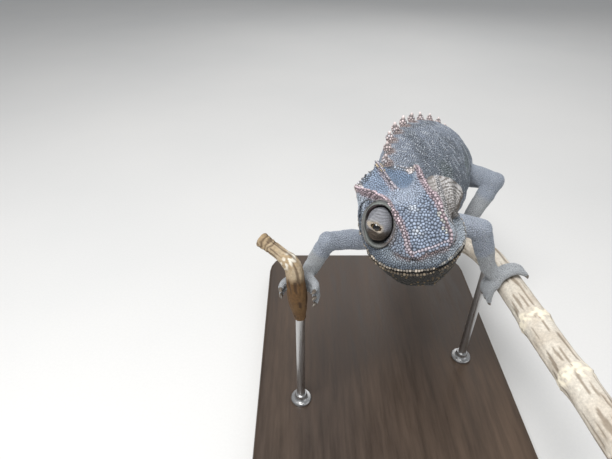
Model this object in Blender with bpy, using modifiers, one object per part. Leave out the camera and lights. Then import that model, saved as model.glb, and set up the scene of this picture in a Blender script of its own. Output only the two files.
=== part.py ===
"""A Namaqua chameleon, life size, gripping two cut branches on a plain display stand.

The flesh is modelled whole: lofts, tubes and balls are fused into one closed mass, the
ridges, sockets and folds are raised or sunk in it, and thin flat cuts part it into head,
casque, jaw, neck, trunk, tail lengths, limbs and toes. Eyes, branches and stand are
pieces of their own. Units are metres; sizes are written in millimetres through MM.
"""

import math

import bmesh
import bpy
import numpy as np
from mathutils import Matrix, Vector
from mathutils.bvhtree import BVHTree

MM = 0.001

# ---------------------------------------------------------------- driving dimensions
GAP = 0.35 * MM  # clear space at every cut and contact
VOXEL = 0.42 * MM  # grain of the fused flesh before it is thinned out
FLESH_TRIANGLES = 18000  # the fused flesh before it is cut
PIECE_TRIANGLES = {  # each piece after it is cut, by the start or the end of its name
    "head": 1540, "casque": 320, "lower_jaw": 400, "neck": 230, "trunk": 1400, "tail": 190,
    "_upper": 120, "_lower": 140, "_foot": 180, "_toes": 140,
}

HEAD_CENTRE = (-5.5, -34.9, 95.8)  # midway between the eyes, mm
HEAD_YAW, HEAD_PITCH, HEAD_ROLL = 16.0, 0.6, 11.6  # degrees; yaw turns the snout to +X

MAIN_PERCH_RADIUS = 4.3
SIDE_PERCH_RADIUS = 3.1
STAND_SIZE = (96.0, 124.0, 7.0)
STAND_CORNER, STAND_EDGE = 12.0, 1.2
ROD_RADIUS = 1.5


def mm(x, y, z):
    return Vector((x, y, z)) * MM


def clear_scene():
    for item in list(bpy.data.objects):
        bpy.data.objects.remove(item, do_unlink=True)


def new_collection(name):
    made = bpy.data.collections.new(name)
    bpy.context.scene.collection.children.link(made)
    return made


# ---------------------------------------------------------------- shape tools
def profile(*knots):
    """A smooth line through (position, value) knots, flat beyond its ends."""
    at = np.array([k[0] for k in knots], float)
    value = np.array([k[1] for k in knots], float)
    slope = np.gradient(value, at)

    def line(x):
        x = float(np.clip(x, at[0], at[-1]))
        i = int(np.clip(np.searchsorted(at, x) - 1, 0, len(at) - 2))
        step = at[i + 1] - at[i]
        t = (x - at[i]) / step
        a = 2 * t**3 - 3 * t**2 + 1
        b = t**3 - 2 * t**2 + t
        c = -2 * t**3 + 3 * t**2
        d = t**3 - t**2
        return a * value[i] + b * step * slope[i] + c * value[i + 1] + d * step * slope[i + 1]

    return line


def smooth_path(points, count):
    """count points spaced evenly along a smooth curve through the given points."""
    pts = np.array(points, float)
    ends = np.vstack([2 * pts[0] - pts[1], pts, 2 * pts[-1] - pts[-2]])
    dense = []
    for i in range(len(pts) - 1):
        p0, p1, p2, p3 = ends[i : i + 4]
        for t in np.linspace(0, 1, 24, endpoint=False):
            dense.append(
                0.5
                * (2 * p1 + (p2 - p0) * t + (2 * p0 - 5 * p1 + 4 * p2 - p3) * t**2
                   + (3 * p1 - p0 - 3 * p2 + p3) * t**3)
            )
    dense = np.array(dense + [pts[-1]])
    run = np.r_[0, np.cumsum(np.linalg.norm(np.diff(dense[:, :3], axis=0), axis=1))]
    even = np.linspace(0, run[-1], count)
    return np.column_stack([np.interp(even, run, dense[:, k]) for k in range(dense.shape[1])])


def mesh_object(name, bm):
    """An object from a closed bmesh, faced outwards; thin ones can come out reversed."""
    bmesh.ops.recalc_face_normals(bm, faces=bm.faces)
    if bm.calc_volume(signed=True) < 0:
        bmesh.ops.reverse_faces(bm, faces=bm.faces)
    data = bpy.data.meshes.new(name)
    bm.to_mesh(data)
    bm.free()
    return bpy.data.objects.new(name, data)


def loft(name, rings):
    """A closed skin through rings of equal count, capped at both ends."""
    bm = bmesh.new()
    loops = [[bm.verts.new(p) for p in ring] for ring in rings]
    count = len(loops[0])
    for near, far in zip(loops, loops[1:]):
        for i in range(count):
            j = (i + 1) % count
            bm.faces.new((near[i], near[j], far[j], far[i]))
    bm.faces.new(loops[0])
    bm.faces.new(loops[-1])
    return mesh_object(name, bm)


def tube(name, points, radii, count=14, sides=3):
    """A round tapering tube: a bevelled poly curve with filled caps, made a mesh."""
    path = smooth_path([(*p, r) for p, r in zip(points, radii)], count)
    curve = bpy.data.curves.new(name, "CURVE")
    curve.dimensions = "3D"
    curve.bevel_depth = MM
    curve.bevel_resolution = sides
    curve.use_fill_caps = True
    spline = curve.splines.new("POLY")
    spline.points.add(len(path) - 1)
    for point, (x, y, z, radius) in zip(spline.points, path):
        point.co = (x * MM, y * MM, z * MM, 1)
        point.radius = radius
    guide = bpy.data.objects.new("guide", curve)
    bpy.context.scene.collection.objects.link(guide)
    made = evaluated_copy(name, guide)
    bpy.data.objects.remove(guide, do_unlink=True)
    return made


def evaluated_copy(name, source):
    graph = bpy.context.evaluated_depsgraph_get()
    data = bpy.data.meshes.new_from_object(source.evaluated_get(graph), depsgraph=graph)
    data.transform(source.matrix_world)
    bm = bmesh.new()
    bm.from_mesh(data)
    bmesh.ops.remove_doubles(bm, verts=bm.verts, dist=1e-6)
    bpy.data.meshes.remove(data)
    return mesh_object(name, bm)


def ball(name, centre, radii, turn=None, detail=3):
    """An ellipsoid from an icosphere; centre and radii in millimetres."""
    bm = bmesh.new()
    bmesh.ops.create_icosphere(bm, subdivisions=detail, radius=1.0)
    place = Matrix.Translation(Vector(centre) * MM)
    if turn is not None:
        place = place @ turn.to_4x4()
    bm.transform(place @ Matrix.Diagonal((*(Vector(radii) * MM), 1)))
    return mesh_object(name, bm)


def cylinder(name, start, end, radius, segments=20):
    """A round bar between two points, all in millimetres."""
    a, b = Vector(start) * MM, Vector(end) * MM
    bm = bmesh.new()
    bmesh.ops.create_cone(
        bm, cap_ends=True, segments=segments, radius1=radius * MM, radius2=radius * MM,
        depth=(b - a).length,
    )
    turn = (b - a).to_track_quat("Z", "Y").to_matrix().to_4x4()
    bm.transform(Matrix.Translation((a + b) / 2) @ turn)
    return mesh_object(name, bm)


def with_modifiers(name, source, *steps):
    """A new mesh object: source after the (kind, settings) modifiers."""
    bpy.context.scene.collection.objects.link(source)
    for kind, settings in steps:
        modifier = source.modifiers.new(kind.title(), kind)
        for key, value in settings.items():
            setattr(modifier, key, value)
    made = evaluated_copy(name, source)
    bpy.data.objects.remove(source, do_unlink=True)
    return made


def fused(name, pieces, voxel, smoothing=3):
    """All pieces as one closed mass, through a voxel remesh and a light smoothing."""
    bm = bmesh.new()
    for piece in pieces:
        bm.from_mesh(piece.data)
        bpy.data.objects.remove(piece, do_unlink=True)
    mass = mesh_object(name, bm)
    return with_modifiers(
        name, mass,
        ("REMESH", {"mode": "VOXEL", "voxel_size": voxel, "adaptivity": 0.0}),
        ("SMOOTH", {"factor": 0.5, "iterations": smoothing}),
    )


# ---------------------------------------------------------------- head
# Head frame, mm: x to the snout, y to the animal's left, z up, origin midway between the
# eyes. Each line gives a height or half width along x.
CROWN_Z = profile(
    (-17.6, 8.0), (-13, 7.4), (-9, 6.7), (-3, 6.7), (3, 7.3), (8, 5.7), (12.4, 0.7), (14.2, -2.0)
)
DISH_Z = profile(
    (-17.6, 7.4), (-13, 4.9), (-9, 4.6), (-4, 6.2), (3, 7.1), (8, 5.6), (12.4, 0.6), (14.2, -2.1)
)
BROW_Y = profile(
    (-17.6, 0.3), (-14.8, 5.2), (-12.2, 7.8), (-5, 6.4),
    (0, 5.3), (9, 4.9), (12.8, 4.3), (14.2, 0.8),
)
BROW_Z = profile(
    (-17.6, 7.0), (-12.2, 6.3), (-5, 8.0), (3, 8.4), (8, 6.3), (12.8, 0.3), (14.2, -2.1)
)
CHEEK_Y = profile(
    (-17.6, 0.3), (-14.5, 5.0), (-11.5, 8.0), (-7, 9.6), (0, 10.4), (6, 9.3), (12, 6.0), (14.2, 0.9)
)
CHEEK_Z = profile((-17.6, 7.4), (-11.5, 1.5), (-7, 0.8), (3, 0.4), (12, -1.9), (14.2, -2.8))
LIP_Z = profile((-17.6, 7.2), (-12, -0.5), (-8, -0.4), (3.5, -2.2), (14.2, -3.8))
JAW_SHARE = profile((-12, 0.8), (0, 0.68), (7, 0.6), (12, 0.56), (14.2, 0.5))
JAW_Z = profile((-17.6, 7.0), (-12, -4.5), (-8, -8.0), (3, -9.3), (11, -9.6), (14.2, -5.4))
THROAT_Z = profile(
    (-17.6, 6.8), (-12, -5.0), (-8, -10.0), (2, -11.3), (10, -11.4), (12.4, -10.9), (14.2, -6.0)
)
MOUTH_LENGTH, SNOUT_TIP = 11.2, 14.3
MOUTH_HALF_WIDTH = profile(
    (-17.6, 0.3), (-14.5, 4.6), (-11, 8.4), (-6, 10.4), (-1, 11.6), (3, 12.2)
)
HEAD_BACK = -17.6

EYE_CENTRE = (1.2, 8.2, 4.1)
# Along the gaze, across it and upright; the folds press the right eye narrower.
EYE_RADII = {"left": (4.4, 4.4, 4.8), "right": (4.4, 3.3, 4.8)}
SOCKET_AXIS = Vector((0.32, 0.93, 0.18)).normalized()
GAZE = {"left": (0.30, 0.90, 0.30), "right": (0.80, -0.40, 0.44)}


def lip_y(x):
    """Half width of the mouth: round in plan at the front, narrowing behind."""
    t = min(max((SNOUT_TIP - x) / MOUTH_LENGTH, 0), 1)
    return MOUTH_HALF_WIDTH(x) * math.sqrt(max(0.0, 1 - (1 - t) ** 2))


def head_matrix():
    yaw, pitch, roll = (math.radians(a) for a in (HEAD_YAW, HEAD_PITCH, HEAD_ROLL))
    level = math.cos(pitch)
    forward = Vector((math.sin(yaw) * level, -math.cos(yaw) * level, math.sin(pitch)))
    left = Vector((0, 0, 1)).cross(forward).normalized()
    left = (Matrix.Rotation(roll, 3, forward) @ left).normalized()
    turn = Matrix((forward, left, forward.cross(left))).transposed()
    return Matrix.Translation(Vector(HEAD_CENTRE)) @ turn.to_4x4()


HEAD = head_matrix()


def head_point(x, y, z):
    """A point of the head frame in the row frame, both in millimetres."""
    return HEAD @ Vector((x, y, z))


def head_ring(x, sides=40):
    keys = [
        (0.0, CROWN_Z(x)),
        (0.5 * BROW_Y(x), DISH_Z(x)),
        (BROW_Y(x), BROW_Z(x)),
        (CHEEK_Y(x), CHEEK_Z(x)),
        (lip_y(x), LIP_Z(x)),
        (JAW_SHARE(x) * lip_y(x), JAW_Z(x)),
        (0.0, THROAT_Z(x)),
    ]
    half = smooth_path([(y, z, 0) for y, z in keys], sides // 2 + 1)[:, :2]
    full = np.vstack([half, half[-2:0:-1] * (-1, 1)])
    return [head_point(x, y, z) * MM for y, z in full]


def head_mass():
    front = SNOUT_TIP - 0.12
    turns = np.linspace(0, math.pi, 34)
    xs = HEAD_BACK + 0.1 + (front - HEAD_BACK - 0.1) * (1 - np.cos(turns)) / 2
    return loft("head_mass", [head_ring(x) for x in xs])


def mirrored(side, point):
    """A left-side point of the head frame, for the side asked for."""
    return Vector((point[0], point[1] if side == "left" else -point[1], point[2]))


def socket_rim(side, ring_radius=5.5, tube_radius=0.85, lift=0.3):
    """The thick ring of skin round an eye."""
    axis = mirrored(side, SOCKET_AXIS)
    centre = mirrored(side, EYE_CENTRE) + axis * lift
    across = axis.orthogonal().normalized()
    along = axis.cross(across)
    points = []
    for k in range(25):
        turn = 2 * math.pi * k / 24
        at = centre + (across * math.cos(turn) + along * math.sin(turn)) * ring_radius
        points.append(head_point(*at))
    return tube("rim", points, [tube_radius] * 25, count=40)


def brow_ridges(side):
    """The beaded ridge from the casque's corner over the eye to the end of the snout."""
    sign = 1 if side == "left" else -1
    xs = (-11.5, -8, -4, 0, 3, 6, 9, 12.4)
    points = [head_point(x, sign * BROW_Y(x), BROW_Z(x) + 0.1) for x in xs]
    radii = (0.9, 0.8, 0.8, 0.85, 0.85, 0.75, 0.65, 0.5)
    return tube("brow", points, radii, count=30)


def casque_ridge():
    xs = (-17.2, -14.5, -11.5, -8.5, -5)
    points = [head_point(x, 0, CROWN_Z(x) + 0.05) for x in xs]
    return tube("casque_ridge", points, (0.95, 0.8, 0.65, 0.5, 0.35), count=20)


# ---------------------------------------------------------------- trunk and tail
# Stations from the back of the head to the tail root, mm: spine point, height, half width
# and the lean of the spine to the animal's right in degrees.
TRUNK = (
    ((-10.0, -23.0, 96.4), 18.0, 7.4, 10),
    ((-8.4, -15.0, 97.0), 21.0, 7.8, 17),
    ((-6.8, -7.0, 97.8), 25.5, 8.6, 24),
    ((-3.6, 7.0, 98.2), 32.0, 10.4, 30),
    ((2.4, 18.5, 97.6), 35.5, 11.8, 32),
    ((10.6, 29.5, 94.8), 36.0, 12.3, 31),
    ((19.6, 38.5, 89.6), 32.5, 11.8, 27),
    ((28.0, 47.5, 81.0), 24.0, 9.4, 18),
    ((32.5, 56.0, 73.5), 14.0, 6.4, 8),
    ((34.6, 63.0, 67.5), 9.6, 4.8, 0),
)
TAIL_CURL_CENTRE = (35.0, 94.0, 38.0)
TAIL_ROOT = [(32.6, 57.0, 66.0), (35.0, 65.0, 60.5), (36.0, 75.0, 54.0), (35.8, 85.0, 50.0)]


def trunk_stations(count=40):
    rows = [(*spine, height, half, lean) for spine, height, half, lean in TRUNK]
    return smooth_path(rows, count)


def trunk_ring(row, ahead, sides=36):
    spine, height, half, lean = row[:3], row[3], row[4], math.radians(row[5])
    back = Vector(ahead).normalized()
    right = Vector((-back.y, back.x, 0)).normalized()
    up = right.cross(-back).normalized()
    if up.z < 0:
        up = -up
    leaned = (math.cos(lean) * up + math.sin(lean) * right).normalized()
    side = leaned.cross(back).normalized()
    centre = Vector(spine) - leaned * height / 2
    ring = []
    for k in range(sides):
        turn = 2 * math.pi * k / sides
        rise, spread = math.cos(turn), math.sin(turn)
        power = 1.35 if rise > 0 else 0.85
        y = half * math.copysign(abs(spread) ** power, spread) * (1 - 0.12 * rise)
        ring.append((centre + side * y + leaned * (rise * height / 2)) * MM)
    return ring


def trunk_mass():
    rows = trunk_stations()
    aheads = np.gradient(rows[:, :3], axis=0)
    return loft("trunk_mass", [trunk_ring(r, a) for r, a in zip(rows, aheads)])


def tail_path(count=44):
    """Back and down from the trunk, then a closing curl in an upright plane."""
    cx, cy, cz = TAIL_CURL_CENTRE
    curl = []
    for k in range(17):
        turn = math.radians(92 - 25 * k)
        reach = 11.0 - 0.44 * k
        curl.append((cx - 0.12 * k, cy + reach * math.cos(turn), cz + reach * math.sin(turn)))
    return smooth_path(TAIL_ROOT + curl, count)


def tail_radii(count=44):
    thin = profile((0, 5.2), (0.12, 4.3), (0.4, 2.9), (0.8, 1.5), (1.0, 0.75))
    return [thin(t) for t in np.linspace(0, 1, count)]


# ---------------------------------------------------------------- branches
MAIN_PERCH_PATH = [
    (40.4, -74.0, 60.8), (38.9, -58.0, 60.4), (37.0, -42.0, 59.8), (33.9, -14.0, 59.3),
    (32.2, 0.0, 57.6), (29.6, 17.0, 51.4), (27.0, 33.0, 46.0), (24.6, 52.0, 42.0),
    (22.6, 70.0, 40.2),
]
MAIN_PERCH_NODES = (-52.5, -33.0, 60.0)  # y of each old leaf joint
SIDE_PERCH_PATH = [
    (-43.5, -16.4, 76.4), (-38.4, -19.8, 74.4), (-34.0, -22.6, 71.4), (-33.0, -23.3, 65.0),
    (-32.6, -23.4, 59.0), (-31.8, -23.2, 50.0),
]

# ---------------------------------------------------------------- limbs
# Joints in mm: root inside the trunk, shoulder or hip, elbow or knee, wrist or ankle.
LIMBS = {
    "left_fore": {
        "joints": [(-1.0, -5.0, 81), (3.4, -7.6, 79.5), (19.8, -19.6, 82.2), (25.4, -18.3, 67.6)],
        "radii": [4.0, 4.0, 3.3, 2.6],
    },
    "right_fore": {
        "joints": [
            (-6.0, -6.0, 76), (-10.0, -10.0, 72), (-23.6, -18.4, 77.2), (-30.0, -15.6, 61.2)
        ],
        "radii": [4.0, 3.6, 3.0, 2.4],
    },
    "left_hind": {
        "joints": [(25.0, 41.0, 69), (31.0, 36.0, 69.6), (39.2, 22.0, 74.0), (31.4, 18.4, 58.6)],
        "radii": [6.0, 5.4, 3.5, 2.7],
    },
    "right_hind": {
        "joints": [(24.0, 45.0, 69), (17.0, 38.0, 67.5), (1.5, 29.5, 60.0), (21.2, 33.4, 55.4)],
        "radii": [5.0, 4.4, 3.4, 2.6],
    },
}

# Each foot: the branch it grips, the branch point nearest to the grip, the palm's
# direction from the branch, the branch radius, and for the toe bundles on the animal's
# inner and outer side: toes, wrap in degrees, how far the tips stand off the bark in mm,
# and the way they travel from the palm.
FEET = {
    "left_fore": {
        "path": MAIN_PERCH_PATH, "grip": (34.4, -17.4, 59.4), "palm": (-0.78, 0.0, 0.62),
        "perch": MAIN_PERCH_RADIUS, "inner": (3, 66, 2.2, (-1, 0, -1)),
        "outer": (2, 84, 0.2, (1, 0, 1)),
    },
    "right_fore": {
        "path": SIDE_PERCH_PATH, "grip": (-32.8, -23.4, 61.4), "palm": (0.42, 0.90, 0.0),
        "perch": SIDE_PERCH_RADIUS, "inner": (3, 84, 1.2, (1, -1, 0)),
        "outer": (2, 104, 0.4, (-1, 1, 0)),
    },
    "left_hind": {
        "path": MAIN_PERCH_PATH, "grip": (29.6, 17.0, 51.4), "palm": (0.30, 0.0, 0.95),
        "perch": MAIN_PERCH_RADIUS, "inner": (2, 118, 0.0, (-1, 0, 0)),
        "outer": (3, 112, 0.0, (1, 0, 0)),
    },
    "right_hind": {
        "path": MAIN_PERCH_PATH, "grip": (27.0, 33.0, 46.0), "palm": (-0.50, 0.0, 0.87),
        "perch": MAIN_PERCH_RADIUS, "inner": (2, 118, 0.0, (1, 0, 0)),
        "outer": (3, 112, 0.0, (-1, 0, 0)),
    },
}
TOE_RADII = (1.75, 1.5, 1.05)


def grip_frame(foot):
    """Grip point on the branch's line, the branch's direction and the palm's direction."""
    path = smooth_path(foot["path"], 80)
    i = int(np.argmin(np.linalg.norm(path - np.array(foot["grip"]), axis=1)))
    i = min(max(i, 1), len(path) - 2)
    along = Vector(path[i + 1] - path[i - 1]).normalized()
    palm = Vector(foot["palm"])
    palm = (palm - along * palm.dot(along)).normalized()
    return Vector(path[i]), along, palm


def toe_path(foot, bundle, slot):
    """Centre line of one toe, from the palm round the branch to its tip."""
    centre, along, palm = grip_frame(foot)
    count, wrap, loose, travel = foot[bundle]
    across = along.cross(palm).normalized()
    if across.dot(Vector(travel)) < 0:
        across = -across
    base, mid, tip = TOE_RADII
    points, radii = [], []
    for t in np.linspace(0, 1, 9):
        radius = (base + (mid - base) * t * 2) if t < 0.5 else (mid + (tip - mid) * (2 * t - 1))
        lift = foot["perch"] + GAP / MM + 0.1 + radius
        lift += 0.45 * math.sin(math.pi * t) + loose * t * t
        spread = (slot - (count - 1) / 2) * (1.5 + 0.9 * t)
        turn = 0.1 + (math.radians(wrap) - 0.1) * t
        direction = palm * math.cos(turn) + across * math.sin(turn)
        points.append(centre + direction * lift + along * spread)
        radii.append(radius)
    return points, radii


def claw_path(points):
    """A short hooked claw that carries on from a toe's last stretch."""
    tip = points[-1]
    run = (points[-1] - points[-2]).normalized()
    inwards = points[-1] - 2 * points[-2] + points[-3]
    inwards = (inwards - run * inwards.dot(run)).normalized()
    return [tip - run * 0.3, tip + run * 1.0 + inwards * 0.12, tip + run * 1.8 + inwards * 0.5]


def palm_point(foot):
    centre, along, palm = grip_frame(foot)
    return centre + palm * (foot["perch"] + GAP / MM + 2.3)


def foot_pieces(name):
    foot = FEET[name]
    centre, along, palm = grip_frame(foot)
    turn = Matrix((along, along.cross(palm), palm)).transposed()
    pieces = [ball("palm", palm_point(foot), (3.1, 3.1, 2.1), turn)]
    for bundle in ("inner", "outer"):
        for slot in range(foot[bundle][0]):
            points, radii = toe_path(foot, bundle, slot)
            pieces.append(tube("toe", points, radii, count=12))
            pieces.append(tube("claw", claw_path(points), (0.72, 0.55, 0.3), count=6))
    wrist = Vector(LIMBS[name]["joints"][-1])
    pieces.append(tube("ankle", [wrist, palm_point(foot)], (2.5, 2.5), count=5))
    return pieces


def limb_pieces(name):
    limb = LIMBS[name]
    root, shoulder, elbow, wrist = (Vector(j) for j in limb["joints"])
    r0, r1, r2, r3 = limb["radii"]
    upper = [root, shoulder, shoulder.lerp(elbow, 0.5), elbow]
    lower = [elbow, elbow.lerp(wrist, 0.45), wrist]
    return [
        tube(name, upper, (r0, r1, (r1 + r2) / 2, r2), count=14),
        tube(name, lower, (r2, r2 * 0.98, r3), count=10),
        ball(name, elbow, (r2 * 1.04,) * 3),
        ball(name, wrist, (r3 * 1.02,) * 3),
    ]


# ---------------------------------------------------------------- flesh as one mass
CREST_KNOBS = 13


def crest_line():
    """Knob centres along the spine with their sizes, largest at the shoulders."""
    rows = trunk_stations(200)
    run = np.r_[0, np.cumsum(np.linalg.norm(np.diff(rows[:, :3], axis=0), axis=1))]
    size = profile((0, 1.6), (0.35, 1.75), (0.7, 1.3), (1, 0.8))
    first, last = 15.0, run[-1] - 8.0
    for k in range(CREST_KNOBS):
        share = k / (CREST_KNOBS - 1)
        s = first + (last - first) * share
        at = [float(np.interp(s, run, rows[:, c])) for c in range(3)]
        yield Vector(at), size(share)


def crest_pieces():
    pieces = []
    for at, size in crest_line():
        middle = at + Vector((-0.15, 0, 0.4)) * size
        pieces.append(ball("knob", middle, (size, size, 1.25 * size), detail=2))
    return pieces


def flesh():
    pieces = [head_mass(), trunk_mass(), tube("tail", tail_path(), tail_radii(), count=70)]
    pieces += crest_pieces()
    pieces.append(casque_ridge())
    for side in ("left", "right"):
        pieces += [socket_rim(side), brow_ridges(side)]
    for name in LIMBS:
        pieces += limb_pieces(name) + foot_pieces(name)
    return fused("flesh", pieces, VOXEL)


# ---------------------------------------------------------------- cuts
def disc(name, centre, normal, radius, thickness=GAP / MM):
    """A thin round cutter; centre, radius and thickness in millimetres."""
    half = Vector(normal).normalized() * thickness / 2
    return cylinder(name, Vector(centre) - half, Vector(centre) + half, radius)


def slab(name, corner_a, corner_b, width, thickness=GAP / MM):
    """A thin flat cutter through two points of the head's middle plane, width across it."""
    a, b = Vector(corner_a), Vector(corner_b)
    run = (b - a).normalized()
    side = Vector((0, 1, 0))
    bm = bmesh.new()
    bmesh.ops.create_cube(bm, size=1.0)
    size = Matrix.Diagonal(((b - a).length, width, thickness, 1))
    turn = Matrix((run, side, run.cross(side))).transposed().to_4x4()
    place = HEAD @ Matrix.Translation((a + b) / 2) @ turn @ size
    bm.transform(Matrix.Scale(MM, 4) @ place)
    return mesh_object(name, bm)


def on_path(path, share):
    """Point and direction at a share of a polyline's length."""
    run = np.r_[0, np.cumsum(np.linalg.norm(np.diff(path[:, :3], axis=0), axis=1))]
    s = share * run[-1]
    at, ahead = (
        np.array([np.interp(v, run, path[:, k]) for k in range(3)]) for v in (s, s + 0.5)
    )
    return Vector(at), Vector(ahead - at).normalized()


def head_cutters():
    back = (HEAD @ Vector((21, 0, 6, 0))).xyz
    return [
        disc("cut_neck", head_point(-15.0, 0, -1.5), back, 17),
        slab("cut_casque_floor", (-21.0, 0, 1.0), (-6.1, 0, 2.4), 30),
        slab("cut_casque_front", (-6.3, 0, 2.0), (-5.6, 0, 9.5), 30),
        slab("cut_mouth", (-8.4, 0, -0.3), (17.0, 0, -4.3), 34),
        slab("cut_jaw_back", (-8.55, 0, 0.2), (-7.4, 0, -16.0), 34),
    ]


def body_cutters():
    tail = np.array(tail_path(200))
    cutters = [disc("cut_shoulders", (-5.9, -16.0, 86.8), (0.22, 1, -0.08), 11.6)]
    for share, radius in ((0.10, 8.2), (0.42, 4.6), (0.70, 3.2)):
        at, ahead = on_path(tail, share)
        cutters.append(disc("cut_tail", at, ahead, radius))
    return cutters


# Share of the upper limb left on the trunk, and mm of the lower limb left on the foot.
LIMB_CUTS = {
    "left_fore": (0.36, 0.5), "right_fore": (0.30, 6.2),
    "left_hind": (0.60, 3.2), "right_hind": (0.42, 2.0),
}


def limb_cutters(name):
    root, shoulder, elbow, wrist = (Vector(j) for j in LIMBS[name]["joints"])
    r0, r1, r2, r3 = LIMBS[name]["radii"]
    foot = FEET[name]
    centre, along, palm = grip_frame(foot)
    upper, lower = (elbow - shoulder).normalized(), (wrist - elbow).normalized()
    shoulder_share, wrist_length = LIMB_CUTS[name]
    half_bend = (math.pi - upper.angle(lower)) / 2
    cutters = [
        disc("cut_shoulder", shoulder.lerp(elbow, shoulder_share), upper, r1 * 1.4),
        disc("cut_elbow", elbow, upper + lower, 1 + 1.1 * r2 / math.sin(half_bend)),
        disc("cut_wrist", wrist - lower * wrist_length, lower, r3 * 1.9),
    ]
    for bundle in ("inner", "outer"):
        across = along.cross(palm).normalized()
        if across.dot(Vector(foot[bundle][3])) < 0:
            across = -across
        turn = math.radians(30)
        radial = palm * math.cos(turn) + across * math.sin(turn)
        middle = centre + radial * (foot["perch"] + 3.2)
        cutters.append(disc("cut_toes", middle, along.cross(radial), 4.9))
    return cutters


def separate(mass):
    """Each loose piece of a mesh as an object of its own."""
    bm = bmesh.new()
    bm.from_mesh(mass.data)
    bm.verts.ensure_lookup_table()
    group = {}
    pieces = []
    for start in bm.verts:
        if start in group:
            continue
        reached, edge = {start}, [start]
        while edge:
            for link in edge.pop().link_edges:
                for vert in link.verts:
                    if vert not in reached:
                        reached.add(vert)
                        edge.append(vert)
        group.update(dict.fromkeys(reached, len(pieces)))
        pieces.append(reached)
    made = []
    for k in range(len(pieces)):
        part = bm.copy()
        part.verts.ensure_lookup_table()
        others = [part.verts[v.index] for v in bm.verts if group[v] != k]
        bmesh.ops.delete(part, geom=others, context="VERTS")
        made.append(mesh_object("piece", part))
    bm.free()
    return made


def holds(piece, point):
    """Whether a closed mesh holds a point in mm: a line from it crosses an odd number of faces."""
    tree = BVHTree.FromPolygons(
        [v.co for v in piece.data.vertices], [tuple(f.vertices) for f in piece.data.polygons]
    )
    at, ahead = Vector(point) * MM, Vector((0.31, 0.17, 0.93)).normalized()
    crossings = 0
    while True:
        hit = tree.ray_cast(at, ahead)[0]
        if hit is None:
            return crossings % 2 == 1
        crossings += 1
        at = hit + ahead * 0.001 * MM


def flesh_seeds():
    """A point in mm inside each piece of flesh, by the piece's name."""
    tail = np.array(tail_path(200))
    seeds = {
        "head": head_point(8.5, 0, -0.5),
        "casque": head_point(-11.0, 0, 4.6),
        "lower_jaw": head_point(6.0, 0, -7.0),
        "neck": (-7.5, -19.0, 86.0),
        "trunk": (12.0, 25.0, 82.0),
        "tail_base": on_path(tail, 0.25)[0],
        "tail_middle": on_path(tail, 0.55)[0],
        "tail_tip": on_path(tail, 0.85)[0],
    }
    for name, limb in LIMBS.items():
        _, shoulder, elbow, wrist = (Vector(j) for j in limb["joints"])
        leg = name.replace("fore", "foreleg").replace("hind", "hindleg")
        foot = FEET[name]
        seeds[f"{leg}_upper"] = shoulder.lerp(elbow, 0.78)
        seeds[f"{leg}_lower"] = elbow.lerp(wrist, 0.55)
        seeds[f"{leg}_foot"] = palm_point(foot)
        seeds[f"{leg}_inner_toes"] = toe_path(foot, "inner", 0)[0][5]
        seeds[f"{leg}_outer_toes"] = toe_path(foot, "outer", 0)[0][5]
    return seeds


def cut_flesh(mass, cutters):
    """The mass with every cutter taken out, as separate named pieces."""
    steps = [("TRIANGULATE", {})]
    for cutter in cutters:
        cut = {"operation": "DIFFERENCE", "solver": "EXACT", "object": cutter}
        steps.append(("BOOLEAN", cut))
    pieces = separate(with_modifiers("flesh", mass, *steps))
    named = {}
    for name, seed in flesh_seeds().items():
        found = [p for p in pieces if holds(p, seed)]
        if not found:
            raise ValueError(f"no piece of flesh holds the seed of {name}")
        pieces.remove(found[0])
        budget = next(
            n for key, n in PIECE_TRIANGLES.items() if name.startswith(key) or name.endswith(key)
        )
        found[0].name = "cut"
        faces = sum(len(f.vertices) - 2 for f in found[0].data.polygons)
        named[name] = with_modifiers(
            name, found[0], ("TRIANGULATE", {}), ("DECIMATE", {"ratio": min(budget / faces, 1.0)})
        )
    for crumb in pieces:
        bpy.data.objects.remove(crumb, do_unlink=True)
    return named


# ---------------------------------------------------------------- eyes
EYE_OPENING, LID_RADIUS = 1.45, 0.55


def gaze(side):
    return (HEAD.to_3x3() @ Vector(GAZE[side])).normalized()


def eye_frame(side):
    """Gaze, level and upright directions of an eye, as the columns of a turn."""
    ahead = gaze(side)
    level = Vector((0, 0, 1)).cross(ahead).normalized()
    return Matrix((ahead, level, ahead.cross(level))).transposed()


def eye_pieces(side):
    """The lidded turret and the eyeball that looks out of it."""
    turn = eye_frame(side)
    centre = head_point(*mirrored(side, EYE_CENTRE))
    ahead, level, upright = (turn.col[k] for k in range(3))
    lid = []
    for k in range(17):
        angle = 2 * math.pi * k / 16
        spoke = level * math.cos(angle) * 1.25 + upright * math.sin(angle)
        lid.append(centre + ahead * (EYE_RADII[side][0] - 0.35) + spoke * EYE_OPENING)
    turret = fused(
        "turret",
        [
            ball("turret", centre, EYE_RADII[side], turn, detail=4),
            tube("lid", lid, [LID_RADIUS] * 17, count=32),
        ],
        0.25 * MM,
    )
    eyeball_at = centre + ahead * (EYE_RADII[side][0] - 1.5)
    pocket = ball("cut_pocket", eyeball_at, (1.6 + GAP / MM,) * 3, detail=2)
    turret = with_modifiers(
        f"eye_turret_{side}", turret,
        ("DECIMATE", {"ratio": 0.03}),
        ("BOOLEAN", {"operation": "DIFFERENCE", "solver": "EXACT", "object": pocket}),
    )
    bpy.data.objects.remove(pocket, do_unlink=True)
    return turret, ball(f"eye_{side}", eyeball_at, (1.6,) * 3, detail=2)


def sockets():
    return [
        ball(
            "cut_socket", head_point(*mirrored(side, EYE_CENTRE)),
            [radius + GAP / MM for radius in EYE_RADII[side]], eye_frame(side),
        )
        for side in ("left", "right")
    ]


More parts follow.
